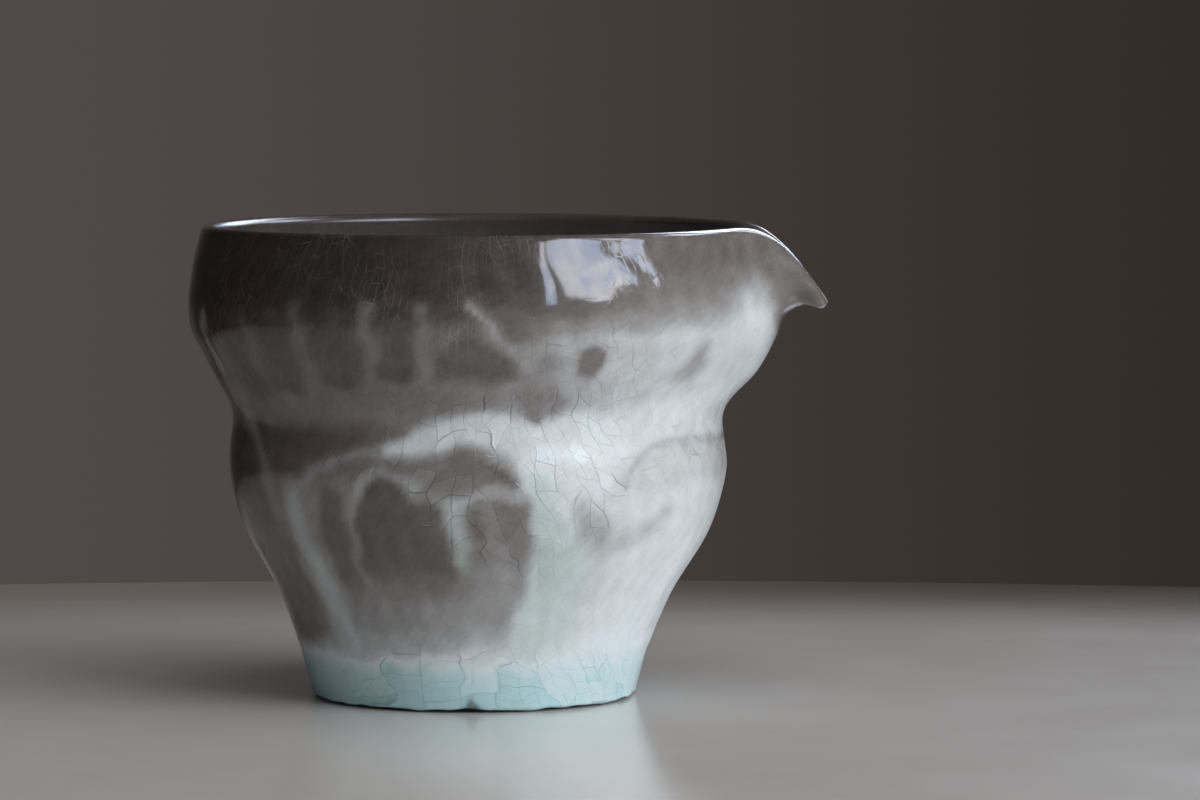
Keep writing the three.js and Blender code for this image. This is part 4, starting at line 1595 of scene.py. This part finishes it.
@dataclass(frozen=True)
class GlazeFinish:
    """A thick glossy glaze: its colour follows its depth, and it is crazed finely where thin.

    Attributes:
        name: The material's name.
        stops: Depths, and the colours there.
        deepest: The last stop's depth.
        brown: What the iron in the glaze does to its colour.
        green: The same of the copper.
        pale_crack: The colour that a light crack leans to.
        dark_crack: What a dark crack does to the colour.
        gloss: The roughness where the glaze is thin.
        satin: The roughness where it is thick.
        coarse: The net of the cracks that show most.
        fine: The net between them.
        hair: The net of the hairlines.
    """

    name: str
    stops: tuple[tuple[float, Colour], ...] = (
        (0.0, linear(54, 48, 45)),
        (0.1, linear(68, 62, 59)),
        (0.2, linear(85, 80, 78)),
        (0.3, linear(102, 97, 95)),
        (0.4, linear(118, 114, 112)),
        (0.5, linear(134, 132, 131)),
        (0.6, linear(150, 150, 150)),
        (0.7, linear(167, 169, 170)),
        (0.8, linear(183, 187, 189)),
        (0.9, linear(198, 204, 207)),
        (1.0, linear(211, 219, 223)),
        (1.2, linear(196, 215, 218)),
        (1.4, linear(174, 206, 210)),
        (1.7, linear(152, 190, 195)),
        (2.0, linear(104, 122, 122)),
    )
    deepest: float = 2.0
    brown: Colour = (1.12, 0.96, 0.84)
    green: Colour = (0.86, 1.0, 0.93)
    pale_crack: Colour = linear(214, 214, 212)
    dark_crack: Colour = linear(172, 179, 180)
    gloss: float = 0.07
    satin: float = 0.26
    coarse: Net = Net(90.0, 30.0, 0.95, 0.00013, 8.0)
    fine: Net = Net(151.0, 50.0, 0.7, 0.00009, 17.0)
    hair: Net = Net(162.0, 44.0, 0.75, 0.0001, 3.0)

    def make(self, effects: Effects) -> bpy.types.Material:
        """Builds the material.

        Args:
            effects: The shared shader groups.

        Returns:
            The material.
        """
        material, graph, shader = new_material(self.name)
        grain = graph.group(effects.grain)
        masks = self.masks(graph, effects, grain)
        graph.feed(shader.inputs["Base Color"], self.colour(graph, masks, grain))
        graph.feed(shader.inputs["Roughness"], self.roughness(graph, masks))
        shader.inputs["IOR"].default_value = 1.52
        graph.relief(shader, self.level(graph, masks), 1.0, 0.0006)
        return material

    def masks(self, graph: Graph, effects: Effects, grain: bpy.types.NodeOutputs) -> GlazeMasks:
        """Works out where each kind of crack shows.

        Args:
            graph: The material's nodes.
            effects: The shared shader groups.
            grain: The outputs of the grain.

        Returns:
            The masks.
        """
        # The depth read here also holds painted shade and a painted highlight on the outer glaze
        depth, tint, crackle, hairlines = (
            graph.add("ShaderNodeAttribute", attribute_type="GEOMETRY", attribute_name=name).outputs["Fac"]
            for name in ("glaze_depth_and_painted_light", "glaze_tint", "glaze_crackle", "glaze_hairlines")
        )
        coarse, fine, hair = (
            graph.group(effects.crazing, **asdict(net)) for net in (self.coarse, self.fine, self.hair)
        )
        thin = graph.product(graph.span(depth, 0.3, 0.8, 1.0, 0.0), hairlines)
        deep = graph.product(graph.span(depth, 0.08, 0.5), crackle)
        patchy = graph.span(grain["Cloud"], 0.35, 0.68, 0.25, 1.0)
        pooled = graph.span(depth, 1.05, 1.35)
        heavy = graph.product(graph.total(graph.product(pooled, 1.6), 1.0), deep)
        return GlazeMasks(
            depth=depth,
            tint=tint,
            heavy=heavy,
            cracks=graph.product(coarse["Crack"], deep),
            faint=graph.product(fine["Crack"], deep, patchy),
            threads=graph.product(hair["Crack"], thin, patchy),
            seams=graph.product(coarse["Crack"], thin, patchy),
            flake=graph.product(graph.swing(coarse["Flake"], 0.08), heavy),
            facets=graph.product(graph.swing(coarse["Shade"], 0.34), heavy),
            chips=graph.product(graph.swing(fine["Shade"], 0.2), deep),
            dark_share=graph.span(pooled, 0.0, 1.0, 1.0, 0.35),
        )

    def colour(self, graph: Graph, masks: GlazeMasks, grain: bpy.types.NodeOutputs) -> Socket:
        """Gives the glaze's colour: that of its depth, made brown or green by its tint, with its cracks.

        Args:
            graph: The material's nodes.
            masks: The glaze's depth and cracks.
            grain: The outputs of the grain.

        Returns:
            The colour.
        """
        cloud, dust = graph.swing(grain["Cloud"], 0.16), graph.swing(grain["Grain"], 0.1)
        uneven = graph.total(masks.depth, cloud, dust, masks.flake)
        stops = tuple((place / self.deepest, colour) for place, colour in self.stops)
        colour = graph.ramp(graph.math("DIVIDE", uneven, self.deepest), stops)
        for side, change in ((1.0, self.green), (-1.0, self.brown)):
            share = graph.math("MAXIMUM", graph.product(masks.tint, side), 0.0)
            colour = graph.mix(share, colour, graph.mix(1.0, colour, change, "MULTIPLY"))
        light = graph.mix(0.28, colour, self.pale_crack)
        dark = graph.mix(1.0, colour, self.dark_crack, "MULTIPLY")
        colour = graph.mix(graph.product(masks.threads, 0.5), colour, light)
        colour = graph.mix(graph.product(masks.seams, 0.35), colour, light)
        colour = graph.mix(graph.product(masks.faint, 0.4), colour, dark)
        return graph.mix(graph.product(masks.cracks, masks.dark_share), colour, dark)

    def roughness(self, graph: Graph, masks: GlazeMasks) -> Socket:
        """Gives the roughness: glossy where thin or pooled, satin between, and rougher on the cracks."""
        calm = graph.span(masks.depth, 1.1, 1.5, 1.0, 0.35)
        rough = graph.product(graph.span(masks.depth, 0.45, 0.85, self.gloss, self.satin), calm)
        return graph.total(rough, graph.product(graph.math("MAXIMUM", masks.cracks, masks.threads), 0.1))

    def level(self, graph: Graph, masks: GlazeMasks) -> Socket:
        """Gives the relief: a soft roll, flakes that tilt each its own way, and sunk cracks."""
        rolling = graph.span(masks.depth, 0.3, 0.8, 0.012, 0.06)
        level = graph.swing(graph.noise(graph.place(), 260.0, 2.0, 0.5).outputs["Fac"], rolling)
        level = graph.total(level, graph.total(masks.facets, masks.chips))
        sunk = graph.math("MAXIMUM", masks.cracks, graph.product(masks.threads, 0.25))
        return graph.math("SUBTRACT", level, graph.product(sunk, 0.05))


@dataclass(frozen=True)
class ClayFinish:
    """Bare fired clay, dull and gritty, with iron specks and paler dust in its grain."""

    name: str
    body: Colour
    burnt: Colour
    roughness: float
    dust: Colour = linear(190, 176, 160)
    iron: Colour = linear(28, 22, 20)

    def make(self, effects: Effects) -> bpy.types.Material:
        """Builds the material.

        Args:
            effects: The shared shader groups.

        Returns:
            The material.
        """
        material, graph, shader = new_material(self.name)
        grain = graph.group(effects.grain, scale=0.8)
        colour = graph.mix(graph.span(grain["Cloud"], 0.35, 0.68), self.burnt, self.body)
        pale = graph.mix(0.35, colour, self.dust)
        colour = graph.mix(graph.product(grain["Speck"], 0.5), colour, self.iron)
        colour = graph.mix(graph.product(graph.span(grain["Grain"], 0.55, 0.8), 0.5), colour, pale)
        graph.feed(shader.inputs["Base Color"], colour)
        rough = graph.total(graph.product(grain["Grain"], 0.2), self.roughness - 0.1)
        graph.feed(shader.inputs["Roughness"], rough)
        graph.relief(shader, grain["Grain"], 0.7, 0.00012)
        return material


def towards(azimuth: float, elevation: float) -> Vector:
    """Gives the direction that an azimuth and an elevation in degrees point in."""
    turn, up = math.radians(azimuth), math.radians(elevation)
    return Vector((math.cos(up) * math.sin(turn), -math.cos(up) * math.cos(turn), math.sin(up)))


@dataclass(frozen=True)
class SoftLight:
    """A rectangular soft light, placed about the pitcher. The gloss shows the window instead of it.

    Attributes:
        name: The lamp's name.
        azimuth: Degrees from the front towards the spout.
        elevation: Degrees above the table.
        distance: Metres from the pitcher.
        width: Metres across.
        height: Metres tall.
        radiance: How bright its face is, where 1 is white.
        colour: Its linear colour.
    """

    name: str
    azimuth: float
    elevation: float
    distance: float
    width: float
    height: float
    radiance: float
    colour: Colour

    def build(self, aim: tuple[float, float, float]) -> None:
        """Adds the lamp, turned towards a point given in metres."""
        data = bpy.data.lights.new(self.name, "AREA")
        data.shape = "RECTANGLE"
        data.size, data.size_y = self.width, self.height
        data.energy = self.radiance * math.pi * self.width * self.height
        data.color = self.colour
        lamp = bpy.data.objects.new(self.name, data)
        turn, up = math.radians(self.azimuth), math.radians(self.elevation)
        facing = Matrix.Rotation(turn, 4, "Z") @ Matrix.Rotation(math.pi / 2.0 - up, 4, "X")
        place = Vector(aim) + self.distance * towards(self.azimuth, self.elevation)
        lamp.matrix_world = Matrix.Translation(place) @ facing
        lamp.visible_camera = lamp.visible_glossy = False
        bpy.context.scene.collection.objects.link(lamp)


@dataclass(frozen=True)
class Window:
    """The window as the glaze mirrors it: bright panes, seen in the gloss alone.

    Attributes:
        panes: Each pane's corners, as azimuths and elevations in degrees, seen from the pitcher.
        distance: Metres from the pitcher.
        sky: The colour of its blue parts.
        cloud: The colour of its white parts.
        radiance: How bright it is, where 1 is white.
    """

    panes: tuple[tuple[tuple[float, float], ...], ...] = (
        ((27, 26), (26.8, 23.2), (27.1, 14.2), (28.4, 9.5), (31.4, 9.4), (30.8, 15.3), (29.4, 22.9),
         (28.2, 26)),
        ((29.1, 25.5), (30.5, 23.2), (33.3, 15), (35.6, 12.2), (44.1, 10.5), (46.5, 8.9), (55, 9.3),
         (55.7, 11.6), (67.8, 11.4), (67, 12.6), (63.8, 17.9), (59.6, 21.3), (53.6, 23), (50.6, 27), (49, 50),
         (43, 55), (36, 32)),
        ((77.2, 9.5), (76, 17.2), (73.4, 19.4), (67.6, 21), (61.6, 23), (57, 27), (53.6, 45), (50.6, 50),
         (52.4, 27), (59.4, 22.6), (64.6, 20.4), (70.6, 16.3), (74.9, 11.1)),
        ((104, 27), (130, 27), (130, 46), (104, 46)),
        ((138, 16), (168, 16), (168, 38), (138, 38)),
    )
    distance: float = 0.8
    sky: Colour = linear(178, 198, 232)
    cloud: Colour = linear(240, 242, 250)
    radiance: float = 11.0

    def build(self, aim: tuple[float, float, float]) -> None:
        """Adds the panes about a point given in metres."""
        mesh = bmesh.new()
        for pane in self.panes:
            corners = [mesh.verts.new(Vector(aim) + self.distance * towards(*corner)) for corner in pane]
            bmesh.ops.contextual_create(mesh, geom=corners)
        window = new_object("window", mesh)
        window.visible_camera = window.visible_diffuse = window.visible_shadow = False
        window.data.materials.append(self.make_sky())

    def make_sky(self) -> bpy.types.Material:
        """Builds the glow of a sky with clouds."""
        material, graph, _ = new_material("window_sky")
        material.node_tree.nodes.clear()
        clouds = graph.span(graph.noise(graph.place(), 9.0, 4.0).outputs["Fac"], 0.4, 0.62)
        glow = graph.add("ShaderNodeEmission")
        graph.feed(glow.inputs["Color"], graph.mix(clouds, self.sky, self.cloud))
        glow.inputs["Strength"].default_value = self.radiance
        graph.feed(graph.add("ShaderNodeOutputMaterial").inputs["Surface"], glow.outputs["Emission"])
        return material


@dataclass(frozen=True)
class Stage:
    """The round table, the room's light and the camera, in metres."""

    table_radius: float = 0.6
    table_thickness: float = 0.02
    table_back: float = 0.167
    table_gap: float = 0.00005
    edge_fade: float = 0.085
    table_colour: Colour = linear(233, 231, 230)
    table_shadow: Colour = linear(226, 223, 221)
    room_left: Colour = linear(79, 74, 71)
    room_right: Colour = linear(50, 42, 39)
    dark_corner: float = 0.15
    ambient: float = 0.04
    aim_height: float = 0.045
    lens: float = 179.6
    sensor: float = 36.0
    camera_across: float = 0.01805
    camera_back: float = 0.886
    camera_height: float = 0.107
    camera_pitch: float = 4.08
    window: Window = Window()
    lights: tuple[SoftLight, ...] = (
        SoftLight("window_light", 56.0, 15.0, 0.8, 0.62, 0.31, 7.4, (0.95, 0.97, 1.0)),
        SoftLight("front_fill", 18.0, 9.0, 1.5, 1.5, 0.5, 1.6, (1.0, 0.985, 0.97)),
        SoftLight("ceiling_fill", 45.0, 66.0, 1.2, 1.2, 1.2, 1.3, (1.0, 0.985, 0.97)),
    )

    def build(self, axis_x: float) -> None:
        """Builds the table, the lamps, the room and the camera.

        Args:
            axis_x: Where the bowl's axis is in the frame, in metres.
        """
        self.build_table()
        aim = (axis_x, 0.0, self.aim_height)
        for lit in (self.window, *self.lights):
            lit.build(aim)
        self.build_room()
        self.build_camera(axis_x)

    def build_camera(self, axis_x: float) -> None:
        """Builds the camera, a little to the right of the bowl's axis."""
        data = bpy.data.cameras.new("photo_camera")
        data.lens, data.sensor_width = self.lens, self.sensor
        camera = bpy.data.objects.new("photo_camera", data)
        camera.location = (axis_x + self.camera_across, -self.camera_back, self.camera_height)
        camera.rotation_euler = (math.radians(90.0 - self.camera_pitch), 0.0, 0.0)
        bpy.context.scene.collection.objects.link(camera)
        bpy.context.scene.camera = camera
        bpy.context.scene.view_settings.view_transform = "Standard"

    def build_table(self) -> None:
        """Builds the round table top, just under the pitcher."""
        middle = self.table_back - self.table_radius
        mesh = bmesh.new()
        top = bmesh.ops.create_circle(mesh, cap_ends=True, segments=180, radius=self.table_radius)["verts"]
        bmesh.ops.translate(mesh, verts=top, vec=(0.0, middle, -self.table_gap))
        under = bmesh.ops.extrude_face_region(mesh, geom=mesh.faces[:])["geom"]
        lowered = [each for each in under if isinstance(each, bmesh.types.BMVert)]
        bmesh.ops.translate(mesh, verts=lowered, vec=(0.0, 0.0, -self.table_thickness))
        bmesh.ops.recalc_face_normals(mesh, faces=mesh.faces)
        table = new_object("table_top", mesh)
        table.data.materials.append(self.make_table_finish(middle))

    def make_table_finish(self, middle: float) -> bpy.types.Material:
        """Builds the pale glossy top, whose edge turns black and glows in the room's colour: painted shade
        into the room.

        Args:
            middle: Where the table's middle is, in metres behind the pitcher.

        Returns:
            The material.
        """
        black = (0.0, 0.0, 0.0)
        material, graph, shader = new_material("pale_table")
        place = graph.place()
        from_middle = graph.vector("SUBTRACT", place, (0.0, middle, 0.0))
        away = graph.vector("LENGTH", graph.vector("MULTIPLY", from_middle, (1.0, 1.0, 0.0)))
        edge = graph.span(away, self.table_radius - self.edge_fade, self.table_radius)
        cloud, dust = (graph.noise(place, *size).outputs["Fac"] for size in ((14.0, 4.0), (40.0, 3.0)))
        mottled = graph.mix(cloud, self.table_colour, self.table_shadow)
        rough = graph.span(dust, 0.3, 0.7, 0.14, 0.17)
        # Painted shade: towards the edge the top turns black and glows in the room's colour instead
        graph.feed(shader.inputs["Base Color"], graph.mix(edge, mottled, black))
        graph.feed(shader.inputs["Roughness"], rough)
        graph.feed(shader.inputs["Emission Color"], graph.mix(edge, black, self.room_colour(graph, place)))
        shader.inputs["Emission Strength"].default_value = 1.0
        return material

    def room_colour(self, graph: Graph, place: Socket) -> Socket:
        """Gives the room's colour, which darkens from left to right across a vector's first part."""
        return graph.mix(graph.span(graph.parts(place)["X"], -0.11, 0.125), self.room_left, self.room_right)

    def build_room(self) -> None:
        """Lights the room evenly, and shows it dark behind the pitcher and in the glaze."""
        world = bpy.data.worlds.new("room")
        world.use_nodes = True
        bpy.context.scene.world = world
        graph = Graph(world.node_tree)
        world.node_tree.nodes.clear()
        path = graph.add("ShaderNodeLightPath").outputs
        seen = graph.math("MAXIMUM", path["Is Camera Ray"], path["Is Glossy Ray"])
        seen = graph.math("MAXIMUM", seen, path["Is Transmission Ray"])
        place = graph.add("ShaderNodeTexCoord").outputs["Generated"]
        corner = graph.span(graph.parts(place)["X"], -0.6, -0.14, self.dark_corner, 1.0)
        room = graph.vector("MULTIPLY", self.room_colour(graph, place), graph.scaled((1.0, 1.0, 1.0), corner))
        shown = graph.add("ShaderNodeBackground")
        graph.feed(shown.inputs["Color"], graph.mix(seen, (self.ambient, self.ambient, self.ambient), room))
        result = graph.add("ShaderNodeOutputWorld")
        graph.feed(result.inputs["Surface"], shown.outputs["Background"])


def main() -> None:
    """Builds the pitcher and its stage, and reports each piece."""
    logging.basicConfig(level=logging.INFO, format="%(name)s: %(message)s")
    wall = Wall()
    low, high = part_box("base_glaze")
    foot_x = (low[0] + high[0]) / 2.0
    axis_x = foot_x + wall.foot_shift * MM
    depth = GlazeDepthAndPaintedLight(wall)
    effects = Effects(crazing_group(), grain_group())
    glaze = GlazeFinish("crazed_celadon").make(effects)
    lining = GlazeFinish("crazed_lining", gloss=0.26).make(effects)
    clay = ClayFinish("dark_clay", linear(96, 84, 76), linear(70, 60, 55), 0.8).make(effects)
    iron_foot = ClayFinish("iron_foot_clay", linear(74, 62, 55), linear(46, 38, 34), 0.85).make(effects)

    foot = Foot()
    pieces = {
        outer_coat().build(wall, depth, axis_x): glaze,
        inner_coat().build(wall, depth, axis_x): lining,
        foot.build_base(wall, foot_x): glaze,
        foot.build_ring(wall, foot_x): iron_foot,
        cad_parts["thrown_body"]: clay,
        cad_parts["pouring_spout"]: clay,
    }
    for piece, material in pieces.items():
        piece.data.materials.clear()
        piece.data.materials.append(material)
        LOG.info("%s: %d faces, %s", piece.name, len(piece.data.polygons), material.name)
    Stage().build(axis_x)


if __name__ == "__main__":
    main()
